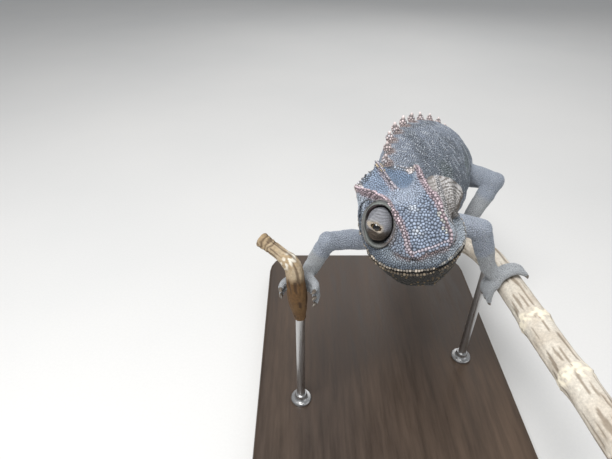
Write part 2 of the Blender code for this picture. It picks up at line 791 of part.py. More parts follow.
# ---------------------------------------------------------------- branches and stand
def main_perch_radii(path):
    """Bark radius along the branch, swollen at each old leaf joint."""
    return [
        MAIN_PERCH_RADIUS
        + sum(0.5 * math.exp(-(((y - node) / 2.2) ** 2)) for node in MAIN_PERCH_NODES)
        for _, y, _ in path
    ]


def main_perch():
    path = [tuple(p) for p in smooth_path(MAIN_PERCH_PATH, 48)]
    return tube("perch_main", path, main_perch_radii(path), count=44)


def side_perch():
    return tube("perch_side", SIDE_PERCH_PATH, (2.5, 2.1, 2.7, 2.9, 3.1, 1.9), count=18)


def stand_pieces():
    width, depth, height = STAND_SIZE
    bm = bmesh.new()
    bmesh.ops.create_cube(bm, size=1.0)
    size = Matrix.Diagonal((width * MM, depth * MM, height * MM, 1))
    bm.transform(Matrix.Translation(mm(0, 0, height / 2)) @ size)
    upright = [e for e in bm.edges if abs(e.verts[0].co.z - e.verts[1].co.z) > 1e-6]
    bmesh.ops.bevel(
        bm, geom=upright, offset=STAND_CORNER * MM, segments=5, profile=0.5, affect="EDGES"
    )
    top = [e for e in bm.edges if all(v.co.z > (height - 0.01) * MM for v in e.verts)]
    bmesh.ops.bevel(bm, geom=top, offset=STAND_EDGE * MM, segments=2, profile=0.5, affect="EDGES")
    base = mesh_object("stand_base", bm)
    lift = height + GAP / MM
    main_x, main_y = 32.7, -4.0
    side_x, side_y, side_z = SIDE_PERCH_PATH[-1]
    top = side_z - 0.7
    return [
        base,
        cylinder("stand_rod_main", (main_x, main_y, lift), (main_x, main_y, 53.1), ROD_RADIUS),
        cylinder("stand_rod_side", (side_x, side_y, lift), (side_x, side_y, top), ROD_RADIUS),
    ]


# ---------------------------------------------------------------- colours and assembly
FINISHES = {
    "skin": ((0.21, 0.25, 0.31), 0.62, 0.0),
    "casque": ((0.19, 0.24, 0.33), 0.58, 0.0),
    "turret": ((0.30, 0.29, 0.27), 0.6, 0.0),
    "eye": ((0.03, 0.02, 0.015), 0.08, 0.0),
    "bark": ((0.52, 0.47, 0.41), 0.85, 0.0),
    "twig": ((0.30, 0.21, 0.12), 0.85, 0.0),
    "stand": ((0.12, 0.11, 0.10), 0.5, 0.0),
    "rod": ((0.45, 0.45, 0.45), 0.3, 1.0),
}


def finish_of(name):
    for key, finish in (
        ("eye_turret", "turret"), ("eye", "eye"), ("casque", "casque"), ("perch_main", "bark"),
        ("perch_side", "twig"), ("stand_rod", "rod"), ("stand", "stand"),
    ):
        if name.startswith(key):
            return finish
    return "skin"


def make_finishes():
    made = {}
    for name, (colour, roughness, metallic) in FINISHES.items():
        material = bpy.data.materials.new(name)
        material.use_nodes = True
        shader = material.node_tree.nodes["Principled BSDF"]
        shader.inputs["Base Color"].default_value = (*colour, 1)
        shader.inputs["Roughness"].default_value = roughness
        shader.inputs["Metallic"].default_value = metallic
        made[name] = material
    return made


def build():
    clear_scene()
    parts = new_collection("chameleon")
    finishes = make_finishes()

    mass = flesh()
    ratio = FLESH_TRIANGLES / (2 * len(mass.data.vertices))
    mass = with_modifiers("flesh", mass, ("DECIMATE", {"ratio": ratio}))
    cutters = head_cutters() + body_cutters() + sockets()
    cutters += [c for name in LIMBS for c in limb_cutters(name)]
    pieces = list(cut_flesh(mass, cutters).values())
    for cutter in cutters:
        bpy.data.objects.remove(cutter, do_unlink=True)

    for side in ("left", "right"):
        pieces += eye_pieces(side)
    pieces += [main_perch(), side_perch(), *stand_pieces()]
    for piece in pieces:
        parts.objects.link(piece)
        piece.data.materials.clear()
        piece.data.materials.append(finishes[finish_of(piece.name)])


if __name__ == "__main__":
    build()
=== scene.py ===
"""A Namaqua chameleon gripping two cut branches on a stand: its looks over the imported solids."""
import math

import bmesh
import bpy
import numpy as np
from mathutils import Matrix, Vector
from mathutils.bvhtree import BVHTree
from mathutils.kdtree import KDTree


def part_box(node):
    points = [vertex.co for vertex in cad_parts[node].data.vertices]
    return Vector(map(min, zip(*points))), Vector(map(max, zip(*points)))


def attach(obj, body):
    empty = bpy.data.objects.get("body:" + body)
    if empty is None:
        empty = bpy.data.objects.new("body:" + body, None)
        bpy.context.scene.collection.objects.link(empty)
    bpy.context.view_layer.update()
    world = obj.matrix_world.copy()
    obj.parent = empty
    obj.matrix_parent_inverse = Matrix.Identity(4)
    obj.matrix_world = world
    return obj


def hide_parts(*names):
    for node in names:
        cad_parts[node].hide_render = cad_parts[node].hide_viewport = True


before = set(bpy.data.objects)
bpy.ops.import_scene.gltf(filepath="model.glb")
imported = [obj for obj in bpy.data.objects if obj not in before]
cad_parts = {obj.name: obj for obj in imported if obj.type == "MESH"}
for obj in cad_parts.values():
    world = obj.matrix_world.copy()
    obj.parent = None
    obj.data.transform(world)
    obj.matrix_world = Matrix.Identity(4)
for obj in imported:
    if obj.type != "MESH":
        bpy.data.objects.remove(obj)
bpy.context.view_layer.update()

# ---------------------------------------------------------------- viewpoint
# The model is looked at from in front of its right shoulder and well above, the way a
# visitor leans over it, through a slightly wide lens.
MM = 0.001
camera = bpy.data.objects.new("camera", bpy.data.cameras.new("camera"))
camera.data.lens = 27.65
camera.data.clip_start = 0.005
camera.location = (-0.030, -0.128, 0.161)
camera.rotation_euler = (math.radians(54), 0, 0)
bpy.context.collection.objects.link(camera)
bpy.context.scene.camera = camera
bpy.context.scene.view_settings.view_transform = "Standard"


# ---------------------------------------------------------------- floor and lamps
# A sheet of pale studio paper under the stand, lit by one large soft box overhead to the
# left, a weaker one on the right and one behind, in a pale room.
def node(tree, kind, settings=None, **sockets):
    """A shader node with its settings, and its inputs given as values or as links."""
    made = tree.nodes.new("ShaderNode" + kind)
    for key, value in (settings or {}).items():
        setattr(made, key, value)
    for key, value in sockets.items():
        socket = made.inputs[int(key[1:]) if key[0] == "_" else key.replace("_", " ")]
        if isinstance(value, bpy.types.NodeSocket):
            tree.links.new(value, socket)
        else:
            socket.default_value = value
    return made


def effect(name, inputs, outputs):
    """An empty shader node group with named inputs and outputs."""
    tree = bpy.data.node_groups.new(name, "ShaderNodeTree")
    for label, kind, value in inputs:
        socket = tree.interface.new_socket(label, in_out="INPUT", socket_type="NodeSocket" + kind)
        socket.default_value = value
    for label, kind in outputs:
        tree.interface.new_socket(label, in_out="OUTPUT", socket_type="NodeSocket" + kind)
    return tree, tree.nodes.new("NodeGroupInput").outputs, tree.nodes.new("NodeGroupOutput").inputs


def finish(name, roughness, **sockets):
    """A new material, its node tree and its shader with the even values set on it."""
    material = bpy.data.materials.new(name)
    material.use_nodes = True
    shader = material.node_tree.nodes["Principled BSDF"]
    shader.inputs["Roughness"].default_value = roughness
    for key, value in sockets.items():
        shader.inputs[key.replace("_", " ")].default_value = value
    return material, material.node_tree, shader


def uneven_effect():
    """Two tones mixed by soft patches and fine grit, with the grit as a height."""
    tree, given, out = effect(
        "uneven_tone",
        [
            ("Tone", "Color", (0.5, 0.5, 0.5, 1)), ("Other Tone", "Color", (0.5, 0.5, 0.5, 1)),
            ("Patch Scale", "Float", 200.0), ("Grit Scale", "Float", 2000.0),
            ("Grit", "Float", 0.3), ("Stretch", "Vector", (1, 1, 1)),
        ],
        [("Colour", "Color"), ("Height", "Float")],
    )
    place = node(tree, "TexCoord").outputs["Object"]
    stretched = node(tree, "VectorMath", {"operation": "MULTIPLY"}, _0=place, _1=given["Stretch"])
    drawn = stretched.outputs[0]
    patch = node(tree, "TexNoise", Vector=drawn, Scale=given["Patch Scale"], Detail=3.0)
    grit = node(
        tree, "TexNoise", Vector=drawn, Scale=given["Grit Scale"], Detail=4.0, Roughness=0.65
    )
    spread = node(tree, "MapRange", Value=patch.outputs["Fac"], From_Min=0.32, From_Max=0.68)
    mixed = node(
        tree, "Mix", {"data_type": "RGBA"}, _0=spread.outputs[0], _6=given["Tone"],
        _7=given["Other Tone"],
    )
    low = node(tree, "Math", {"operation": "SUBTRACT"}, _0=1.0, _1=given["Grit"])
    shade = node(
        tree, "MapRange", Value=grit.outputs["Fac"], From_Min=0.3, From_Max=0.7,
        To_Min=low.outputs[0],
    )
    toned = node(
        tree, "VectorMath", {"operation": "SCALE"}, Vector=mixed.outputs[2], Scale=shade.outputs[0]
    )
    tree.links.new(toned.outputs[0], out["Colour"])
    tree.links.new(grit.outputs["Fac"], out["Height"])
    return tree


UNEVEN = uneven_effect()


def dress(tree, shader, group, bump=0.0, depth=0.0001, gloss=None, **values):
    """Places an effect in a material: its colour, its height as bump, and its height again
    as roughness between the two values of gloss."""
    placed = tree.nodes.new("ShaderNodeGroup")
    placed.node_tree = group
    for key, value in values.items():
        placed.inputs[key.replace("_", " ")].default_value = value
    tree.links.new(placed.outputs["Colour"], shader.inputs["Base Color"])
    height = placed.outputs["Height"]
    if bump:
        raised = node(tree, "Bump", Strength=bump, Distance=depth, Height=height)
        tree.links.new(raised.outputs[0], shader.inputs["Normal"])
    if gloss:
        span = node(
            tree, "MapRange", Value=height, From_Min=0.3, From_Max=0.7, To_Min=gloss[0],
            To_Max=gloss[1],
        )
        tree.links.new(span.outputs[0], shader.inputs["Roughness"])
    return placed


paper, tree, shader = finish("studio_paper", 0.85)
dress(tree, shader, UNEVEN, Tone=(0.78, 0.77, 0.75, 1), Other_Tone=(0.74, 0.735, 0.72, 1),
      Patch_Scale=6.0, Grit_Scale=900.0, Grit=0.03)
floor_mesh = bmesh.new()
bmesh.ops.create_grid(floor_mesh, x_segments=8, y_segments=8, size=1.5)
floor_data = bpy.data.meshes.new("floor")
floor_mesh.to_mesh(floor_data)
floor_mesh.free()
floor_data.materials.append(paper)
floor = bpy.data.objects.new("floor", floor_data)
bpy.context.collection.objects.link(floor)

LAMPS = (  # name, place, aim, size across and power
    ("soft_box", (-0.16, -0.20, 0.54), (0.0, 0.0, 0.07), 0.24, 3.5),
    ("fill_box", (0.50, -0.30, 0.32), (0.0, 0.0, 0.07), 0.40, 0.42),
    ("back_box", (0.10, 0.50, 0.40), (0.0, 0.0, 0.06), 0.40, 0.70),
)
for name, place, aim, size, power in LAMPS:
    lamp = bpy.data.lights.new(name, "AREA")
    lamp.size, lamp.energy = size, power
    hung = bpy.data.objects.new(name, lamp)
    hung.location = place
    hung.rotation_euler = (Vector(aim) - Vector(place)).to_track_quat("-Z", "Y").to_euler()
    bpy.context.collection.objects.link(hung)
room = bpy.data.worlds.new("room")
room.use_nodes = True
room.node_tree.nodes["Background"].inputs["Color"].default_value = (0.93, 0.96, 1.0, 1)
room.node_tree.nodes["Background"].inputs["Strength"].default_value = 0.32
bpy.context.scene.world = room

# ---------------------------------------------------------------- stand base
# A hardwood block with rounded corners and a small bevel, stained nearly black and
# waxed; the solid already has its shape, so it gets its finish here.
stained, tree, shader = finish("stained_hardwood", 0.42, Coat_Roughness=0.3)
dress(
    tree, shader, UNEVEN, bump=0.35, depth=0.00012, gloss=(0.34, 0.52),
    Tone=(0.052, 0.034, 0.024, 1), Other_Tone=(0.105, 0.068, 0.044, 1), Patch_Scale=34.0,
    Grit_Scale=420.0, Grit=0.45, Stretch=(1.0, 0.09, 1.0),
)
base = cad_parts["stand_base"]
base.data.materials.clear()
base.data.materials.append(stained)


# ---------------------------------------------------------------- stand rods and collars
# Two 3 mm steel rods, brushed lengthways and chamfered, stand in turned steel collars
# let into the base, and their upper ends are let a millimetre into the wood they carry.
def solid(name, points, *face_sets):
    """A smooth-shaded mesh object from points in millimetres and arrays of faces."""
    data = bpy.data.meshes.new(name)
    corners = np.concatenate([np.asarray(f).ravel() for f in face_sets]).astype(np.int32)
    sizes = np.concatenate([np.full(len(f), np.asarray(f).shape[1]) for f in face_sets])
    data.vertices.add(len(points))
    data.vertices.foreach_set("co", (np.asarray(points) * MM).astype(np.float32).ravel())
    data.loops.add(len(corners))
    data.loops.foreach_set("vertex_index", corners)
    data.polygons.add(len(sizes))
    data.polygons.foreach_set("loop_start", np.r_[0, np.cumsum(sizes)[:-1]].astype(np.int32))
    data.polygons.foreach_set("use_smooth", np.full(len(sizes), True))
    data.update(calc_edges=True)
    made = bpy.data.objects.new(name, data)
    bpy.context.collection.objects.link(made)
    return made


def turned(name, axis, outline, material, sides=40):
    """A turned piece: an outline of (radius, height) pairs run round an upright axis, closed."""
    turns = np.linspace(0, 2 * math.pi, sides, endpoint=False)
    ring = np.column_stack([np.cos(turns), np.sin(turns)])
    points = [
        np.column_stack([axis[0] + r * ring[:, 0], axis[1] + r * ring[:, 1], np.full(sides, z)])
        for r, z in outline
    ]
    count = len(outline)
    here = np.arange(count * sides).reshape(count, sides)
    quads = np.stack(
        [here[:-1], np.roll(here[:-1], -1, 1), np.roll(here[1:], -1, 1), here[1:]], axis=-1
    ).reshape(-1, 4)
    made = solid(name, np.vstack(points), quads, here[:1, ::-1], here[-1:])
    made.data.materials.append(material)
    return made


steel, tree, shader = finish("brushed_steel", 0.32, Metallic=1.0)
dress(
    tree, shader, UNEVEN, bump=0.12, depth=0.00002, gloss=(0.24, 0.42),
    Tone=(0.50, 0.50, 0.50, 1), Other_Tone=(0.58, 0.575, 0.57, 1), Patch_Scale=120.0,
    Grit_Scale=3200.0, Grit=0.18, Stretch=(1.0, 1.0, 0.03),
)
BASE_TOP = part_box("stand_base")[1].z / MM
ROD_FOOT = ((-0.2, 0.05), (0.0, 0.25))  # change of radius, height above the base
ROD_TIP = ((0.0, 0.6), (0.0, 0.7), (-0.15, 0.95), (-0.45, 1.1))  # the same, above the rod's top
COLLAR = (  # radius, height above the base
    (3.6, 0.02), (3.75, 0.2), (3.75, 0.9), (3.5, 1.2), (2.5, 1.35), (2.2, 1.7), (2.15, 3.2),
    (1.95, 3.5),
)
COLLAR_PLAY, COLLAR_FOOT, COLLAR_TOP = 0.08, 0.02, 3.55
for side in ("main", "side"):
    low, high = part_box(f"stand_rod_{side}")
    axis = ((low.x + high.x) / 2 / MM, (low.y + high.y) / 2 / MM)
    top, radius = high.z / MM, (high.x - low.x) / 2 / MM
    outline = [(radius + change, BASE_TOP + over) for change, over in ROD_FOOT]
    outline += [(radius + change, top + over) for change, over in ROD_TIP]
    rod = turned(f"stand_post_{side}", axis, outline, steel)
    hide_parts(f"stand_rod_{side}")
    outline = [
        (radius + COLLAR_PLAY, BASE_TOP + COLLAR_FOOT), *((r, BASE_TOP + z) for r, z in COLLAR),
        (radius + COLLAR_PLAY, BASE_TOP + COLLAR_TOP),
    ]
    collar = turned(f"stand_collar_{side}", axis, outline, steel)
    for piece in (rod, collar):
        edge = piece.modifiers.new("edge", "EDGE_SPLIT")
        edge.split_angle = math.radians(35)
        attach(piece, "root")


# ---------------------------------------------------------------- main branch
# A sawn length of dry shrub stem, grey-white and finely fissured, with pale flaking
# rings at its old leaf joints. It is solid wood, and its growth rings show at the cuts.
def smooth_path(points, count):
    """count points spaced evenly along a smooth curve through the given points."""
    pts = np.array(points, float)
    ends = np.vstack([2 * pts[0] - pts[1], pts, 2 * pts[-1] - pts[-2]])
    dense = []
    for i in range(len(pts) - 1):
        p0, p1, p2, p3 = ends[i : i + 4]
        for t in np.linspace(0, 1, 24, endpoint=False):
            dense.append(
                0.5
                * (2 * p1 + (p2 - p0) * t + (2 * p0 - 5 * p1 + 4 * p2 - p3) * t**2
                   + (3 * p1 - p0 - 3 * p2 + p3) * t**3)
            )
    dense = np.array(dense + [pts[-1]])
    run = np.r_[0, np.cumsum(np.linalg.norm(np.diff(dense[:, :3], axis=0), axis=1))]
    even = np.linspace(0, run[-1], count)
    return np.column_stack([np.interp(even, run, dense[:, k]) for k in range(dense.shape[1])])


def mottle(points, size, seed, waves=14):
    """Smooth random hills and hollows, mostly within -1 to 1, each roughly size across."""
    draw = np.random.default_rng(seed)
    total = np.zeros(len(points))
    for _ in range(waves):
        heading = draw.normal(size=3)
        heading /= np.linalg.norm(heading)
        length = 2 * size * draw.uniform(0.7, 1.5)
        total += np.sin(points @ heading * (2 * math.pi / length) + draw.uniform(0, 2 * math.pi))
    return total / (1.3 * math.sqrt(waves / 2))


def smooth_step(value, low, high):
    """0 below low, 1 above high, smooth between; low may be above high."""
    t = np.clip((value - low) / (high - low), 0, 1)
    return t * t * (3 - 2 * t)


def swept_frames(path):
    """Unit directions along a path and two across it that don't twist."""
    ahead = np.gradient(path, axis=0)
    ahead /= np.linalg.norm(ahead, axis=1)[:, None]
    across = np.zeros_like(path)
    first = np.cross(ahead[0], (0.21, 0.13, 0.97))
    across[0] = first / np.linalg.norm(first)
    for i in range(1, len(path)):
        turned_to = across[i - 1] - ahead[i] * (across[i - 1] @ ahead[i])
        across[i] = turned_to / np.linalg.norm(turned_to)
    return ahead, across, np.cross(ahead, across)


def paint(obj, name, values):
    """Stores one value or colour for each point of a mesh."""
    values = np.asarray(values, float)
    if values.ndim == 1:
        obj.data.attributes.new(name, "FLOAT", "POINT").data.foreach_set("value", values)
        return
    full = np.column_stack([values, np.ones(len(values))])
    obj.data.attributes.new(name, "FLOAT_COLOR", "POINT").data.foreach_set("color", full.ravel())


def branch(name, guide, radius_at, relief, rings, sides, bark, cut_wood):
    """A length of stem: bark raised by relief over a swept tube, with chamfered sawn ends."""
    path = smooth_path(guide, rings)
    ahead, across, up = swept_frames(path)
    run = np.r_[0, np.cumsum(np.linalg.norm(np.diff(path, axis=0), axis=1))]
    turns = np.linspace(0, 2 * math.pi, sides, endpoint=False)
    spoke = across[:, None] * np.cos(turns)[:, None] + up[:, None] * np.sin(turns)[:, None]
    radius = radius_at(path)[:, None] * np.ones(sides)
    flat = np.stack(
        [radius * np.cos(turns), radius * np.sin(turns), np.repeat(run[:, None], sides, 1)], -1
    ).reshape(-1, 3)
    height, scar, crack = (v.reshape(rings, sides) for v in relief(flat, path.repeat(sides, 0)))
    chamfer, chamfer_run, doming, saw_marks = 0.35, 0.5, 0.12, 0.03
    near_end = np.minimum(run, run[-1] - run)[:, None]
    height = height - chamfer * smooth_step(near_end, chamfer_run, 0.0)
    points = (path[:, None] + spoke * (radius + height)[:, :, None]).reshape(-1, 3)
    here = np.arange(rings * sides).reshape(rings, sides)
    bark_faces = np.stack(
        [here[:-1], np.roll(here[:-1], -1, 1), np.roll(here[1:], -1, 1), here[1:]], -1
    ).reshape(-1, 4)[:, ::-1]
    shares = np.linspace(1, 0, 10)[1:-1]  # how far each ring of a sawn face is from the pith
    cut_points, cut_quads, cut_tris, marks = [], [], [], []
    start = len(points)
    for end, outward in ((0, -1), (rings - 1, 1)):
        rim = points[here[end]]
        centre = path[end]
        loop = here[end]
        for share in shares:
            ring = centre + (rim - centre) * share + ahead[end] * outward * doming * (1 - share)
            ring += ahead[end] * (saw_marks * mottle(ring, 0.5, 5))[:, None]
            new = np.arange(start, start + sides)
            quads = np.stack([loop, np.roll(loop, -1), np.roll(new, -1), new], -1)
            cut_quads.append(quads if outward > 0 else quads[:, ::-1])
            cut_points.append(ring)
            marks.append(np.full(sides, share))
            loop, start = new, start + sides
        cut_points.append((centre + ahead[end] * outward * doming)[None])
        marks.append([0.0])
        tris = np.stack([loop, np.roll(loop, -1), np.full(sides, start)], -1)
        cut_tris.append(tris if outward > 0 else tris[:, ::-1])
        start += 1
    made = solid(name, np.vstack([points, *cut_points]), bark_faces, *cut_quads, *cut_tris)
    extra = start - len(points)
    paint(made, "scar", np.r_[scar.ravel(), np.zeros(extra)])
    paint(made, "crack", np.r_[crack.ravel(), np.zeros(extra)])
    paint(made, "from_pith", np.r_[np.ones(len(points)), np.concatenate(marks)])
    made.data.materials.append(bark)
    made.data.materials.append(cut_wood)
    slots = np.zeros(len(made.data.polygons), np.int32)
    slots[len(bark_faces) :] = 1
    made.data.polygons.foreach_set("material_index", slots)
    return made


def bark_finish(name, tones, crack_tone, scar_tone, grit):
    """Bark in two weathered tones, darker in its cracks and paler on its scars."""
    material, tree, shader = finish(name, 0.86)
    placed = dress(
        tree, shader, UNEVEN, bump=0.6, depth=0.00015, Tone=(*tones[0], 1),
        Other_Tone=(*tones[1], 1), Patch_Scale=150.0, Grit_Scale=1500.0, Grit=grit,
    )
    scar = node(tree, "Attribute", {"attribute_name": "scar"}).outputs["Fac"]
    crack = node(tree, "Attribute", {"attribute_name": "crack"}).outputs["Fac"]
    flaked = node(
        tree, "Mix", {"data_type": "RGBA"}, _0=scar, _6=placed.outputs["Colour"], _7=(*scar_tone, 1)
    )
    split = node(
        tree, "Mix", {"data_type": "RGBA"}, _0=crack, _6=flaked.outputs[2], _7=(*crack_tone, 1)
    )
    tree.links.new(split.outputs[2], shader.inputs["Base Color"])
    return material


def cut_wood_finish():
    """A sawn face: pale wood with growth rings round the pith."""
    material, tree, shader = finish("cut_wood", 0.8)
    share = node(tree, "Attribute", {"attribute_name": "from_pith"}).outputs["Fac"]
    wander = node(tree, "TexNoise", Scale=500.0, Detail=2.0).outputs["Fac"]
    bent = node(tree, "Math", {"operation": "MULTIPLY_ADD"}, _0=wander, _1=0.12, _2=share)
    ringed = node(tree, "Math", {"operation": "MULTIPLY"}, _0=bent.outputs[0], _1=48.0)
    wave = node(tree, "Math", {"operation": "SINE"}, _0=ringed.outputs[0])
    tone = node(tree, "MapRange", Value=wave.outputs[0], From_Min=-1.0, From_Max=1.0)
    mixed = node(
        tree, "Mix", {"data_type": "RGBA"}, _0=tone.outputs[0], _6=(0.50, 0.36, 0.20, 1),
        _7=(0.68, 0.54, 0.35, 1),
    )
    tree.links.new(mixed.outputs[2], shader.inputs["Base Color"])
    raised = node(tree, "Bump", Strength=0.25, Distance=0.00005, Height=tone.outputs[0])
    tree.links.new(raised.outputs[0], shader.inputs["Normal"])
    return material


MAIN_PERCH_RADIUS, SIDE_PERCH_RADIUS = 4.3, 3.1
MAIN_PERCH_PATH = [
    (40.4, -74.0, 60.8), (38.9, -58.0, 60.4), (37.0, -42.0, 59.8), (33.9, -14.0, 59.3),
    (32.2, 0.0, 57.6), (29.6, 17.0, 51.4), (27.0, 33.0, 46.0), (24.6, 52.0, 42.0),
    (22.6, 70.0, 40.2),
]
MAIN_PERCH_JOINTS = (-54.0, -34.5, 60.0)  # along y
RIDGE_ROOM = 0.14  # kept free under the solid's surface for the bark's ridges
JOINT_SWELL, JOINT_LENGTH = 0.42, 2.0


def main_radius(path):
    """The main branch's radius along it, swollen at its joints."""
    swell = sum(
        JOINT_SWELL * np.exp(-(((path[:, 1] - at) / JOINT_LENGTH) ** 2)) for at in MAIN_PERCH_JOINTS
    )
    return MAIN_PERCH_RADIUS - RIDGE_ROOM + swell


def main_relief(flat, place):
    """Long low ridges and fissures, with a flaking collar at each old leaf joint."""
    drawn = flat * (1, 1, 0.14)
    ridges = mottle(drawn, 0.9, 11) * 0.07 + mottle(drawn, 0.42, 12) * 0.03
    fissure = smooth_step(mottle(drawn, 0.75, 13), 0.62, 1.0)
    at = place[:, 1] + 0.5 * mottle(flat, 1.6, 14)
    scar = np.zeros(len(flat))
    lift = np.zeros(len(flat))
    for spot in MAIN_PERCH_JOINTS:
        off = at - spot
        scar = np.maximum(scar, smooth_step(np.abs(off), 2.5, 1.2))
        lift += 0.16 * np.exp(-((off / 0.35) ** 2)) * (0.5 + 0.5 * mottle(flat, 0.8, 15))
        lift -= 0.14 * np.exp(-(((np.abs(off) - 0.9) / 0.28) ** 2))
    flakes = scar * 0.07 * mottle(flat * (1, 1, 2.2), 0.35, 16)
    scar = scar * smooth_step(mottle(flat, 0.9, 17), -0.9, 0.1)
    return ridges - 0.16 * fissure + lift + flakes, scar, 0.75 * fissure * (1 - scar)


pale_bark = bark_finish(
    "pale_bark", ((0.62, 0.54, 0.44), (0.78, 0.72, 0.62)), crack_tone=(0.22, 0.17, 0.12),
    scar_tone=(0.86, 0.78, 0.62), grit=0.30,
)
cut_wood = cut_wood_finish()
perch = branch(
    "perch_stem", MAIN_PERCH_PATH, main_radius, main_relief, rings=420, sides=84, bark=pale_bark,
    cut_wood=cut_wood,
)
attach(perch, "root")
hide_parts("perch_main")

# ---------------------------------------------------------------- side branch
# A thinner sawn twig that bends down into a brown stem, its cream bark ringed by dark
# scars and peeling at the bend where a leaf cluster grew. The stem is painted dark brown, its own
# brown deepened by painted shade.
SIDE_PERCH_PATH = [
    (-43.5, -16.4, 76.4), (-38.4, -19.8, 74.4), (-34.0, -22.6, 71.4), (-33.0, -23.3, 65.0),
    (-32.6, -23.4, 59.0), (-31.8, -23.2, 50.0),
]
SIDE_PERCH_RADII = (2.5, 2.1, 2.7, 2.9, 3.1, 1.9)
SIDE_RINGS = (1.5, 2.9, 4.3)  # leaf scars, along the twig from its upper cut
SIDE_KNOB = 10.6
STEM_TOP, BARK_FOOT = 0.0665, 0.0695  # heights in metres between which the stem's dark brown, its own brown deepened by painted shade, turns to cream


def side_radius(path):
    """The side branch's radius along it."""
    guide = smooth_path([(*p, r) for p, r in zip(SIDE_PERCH_PATH, SIDE_PERCH_RADII)], len(path))
    return guide[:, 3] - 0.1


def side_relief(flat, place):
    """Fine ridges and fissures, dark rings near the cut and peeling bark at the bend."""
    drawn = flat * (1, 1, 0.2)
    ridges = mottle(drawn, 0.7, 21) * 0.06 + mottle(drawn, 0.35, 22) * 0.03
    fissure = smooth_step(mottle(drawn, 0.6, 23), 0.55, 1.0)
    along = flat[:, 2] + 0.35 * mottle(flat, 1.2, 24)
    ring = sum(np.exp(-(((along - at) / 0.32) ** 2)) for at in SIDE_RINGS)
    knob = np.exp(-(((along - SIDE_KNOB) / 1.6) ** 2))
    peel = knob * smooth_step(mottle(flat, 0.8, 25), -0.3, 0.5)
    height = ridges - 0.12 * fissure - 0.18 * ring + 0.14 * knob + 0.10 * peel
    return height, peel, np.clip(0.8 * ring + 0.7 * fissure, 0, 1)


twig_bark = bark_finish(
    "twig_bark", ((0.42, 0.30, 0.17), (0.55, 0.44, 0.30)), crack_tone=(0.09, 0.055, 0.03),
    scar_tone=(0.80, 0.76, 0.66), grit=0.4,
)
tree = twig_bark.node_tree
# Painted shade: below the bend the bark is multiplied towards dark brown, the stem's own brown
# deepened as shade.
place = node(tree, "TexCoord").outputs["Object"]
height = node(tree, "SeparateXYZ", Vector=place).outputs["Z"]
brown = node(
    tree, "MapRange", Value=height, From_Min=STEM_TOP, From_Max=BARK_FOOT, To_Min=1.0, To_Max=0.0
)
shader = tree.nodes["Principled BSDF"]
bark_colour = shader.inputs["Base Color"].links[0].from_socket
stem_shaded = node(
    tree, "Mix", {"data_type": "RGBA", "blend_type": "MULTIPLY"}, _0=brown.outputs[0],
    _6=bark_colour, _7=(0.30, 0.20, 0.10, 1),
)
tree.links.new(stem_shaded.outputs[2], shader.inputs["Base Color"])
twig = branch(
    "perch_twig", SIDE_PERCH_PATH, side_radius, side_relief, rings=200, sides=60, bark=twig_bark,
    cut_wood=cut_wood,
)
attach(twig, "root")
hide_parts("perch_side")


# ---------------------------------------------------------------- skin
# The hide is one unbroken skin over head, body, tail and limbs. Its form is built from
# lofted and swept masses fused together, then the mouth line, nostrils, eye folds and
# creases are sunk into it, and it is drawn in by the depth of the scales that cover it.
def profile(*knots):
    """A smooth line through (position, value) knots, flat beyond its ends."""
    at = np.array([k[0] for k in knots], float)
    value = np.array([k[1] for k in knots], float)
    slope = np.gradient(value, at)

    def line(x):
        x = np.clip(x, at[0], at[-1])
        i = np.clip(np.searchsorted(at, x) - 1, 0, len(at) - 2)
        step = at[i + 1] - at[i]
        t = (x - at[i]) / step
        a = 2 * t**3 - 3 * t**2 + 1
        b = t**3 - 2 * t**2 + t
        c = -2 * t**3 + 3 * t**2
        d = t**3 - t**2
        return a * value[i] + b * step * slope[i] + c * value[i + 1] + d * step * slope[i + 1]

    return line


# Head frame, mm: x to the snout, y to the animal's left, z up, origin midway between the
# eyes. Each profile gives a height or half width along x.
CROWN_Z = profile(
    (-17.6, 8.0), (-13, 7.4), (-9, 6.7), (-3, 6.7), (3, 7.3), (8, 5.7), (12.4, 0.7), (14.2, -2.0)
)
DISH_Z = profile(
    (-17.6, 7.4), (-13, 4.9), (-9, 4.6), (-4, 6.2), (3, 7.1), (8, 5.6), (12.4, 0.6), (14.2, -2.1)
)
BROW_Y = profile(
    (-17.6, 0.3), (-14.8, 5.2), (-12.2, 7.8), (-5, 6.4), (0, 5.3), (9, 4.9), (12.8, 4.3),
    (14.2, 0.8),
)
BROW_Z = profile(
    (-17.6, 7.0), (-12.2, 6.3), (-5, 8.0), (3, 8.4), (8, 6.3), (12.8, 0.3), (14.2, -2.1)
)
CHEEK_Y = profile(
    (-17.6, 0.3), (-14.5, 5.0), (-11.5, 8.0), (-7, 9.6), (0, 10.4), (6, 9.3), (12, 6.0), (14.2, 0.9)
)
CHEEK_Z = profile((-17.6, 7.4), (-11.5, 1.5), (-7, 0.8), (3, 0.4), (12, -1.9), (14.2, -2.8))
LIP_Z = profile((-17.6, 7.2), (-12, -0.5), (-8, -0.4), (3.5, -2.2), (14.2, -3.8))
JAW_SHARE = profile((-12, 0.8), (0, 0.68), (7, 0.6), (12, 0.56), (14.2, 0.5))
JAW_Z = profile((-17.6, 7.0), (-12, -4.5), (-8, -8.0), (3, -9.3), (11, -9.6), (14.2, -5.4))
THROAT_Z = profile(
    (-17.6, 6.8), (-12, -5.0), (-8, -10.0), (2, -11.3), (10, -11.4), (12.4, -10.9), (14.2, -6.0)
)
MOUTH_HALF_WIDTH = profile(
    (-17.6, 0.3), (-14.5, 4.6), (-11, 8.4), (-6, 10.4), (-1, 11.6), (3, 12.2)
)
HEAD_BACK, SNOUT_TIP, MOUTH_LENGTH = -17.6, 14.3, 11.2
MOUTH_CORNER, MOUTH_DROP, MOUTH_SLOPE = 8.4, 0.3, 0.1575  # where the mouth starts, and its fall
HEAD_CENTRE = (-5.5, -34.9, 95.8)
HEAD_YAW, HEAD_PITCH, HEAD_ROLL = 16.0, 0.6, 11.6
EYE_CENTRE = (1.2, 8.2, 4.1)
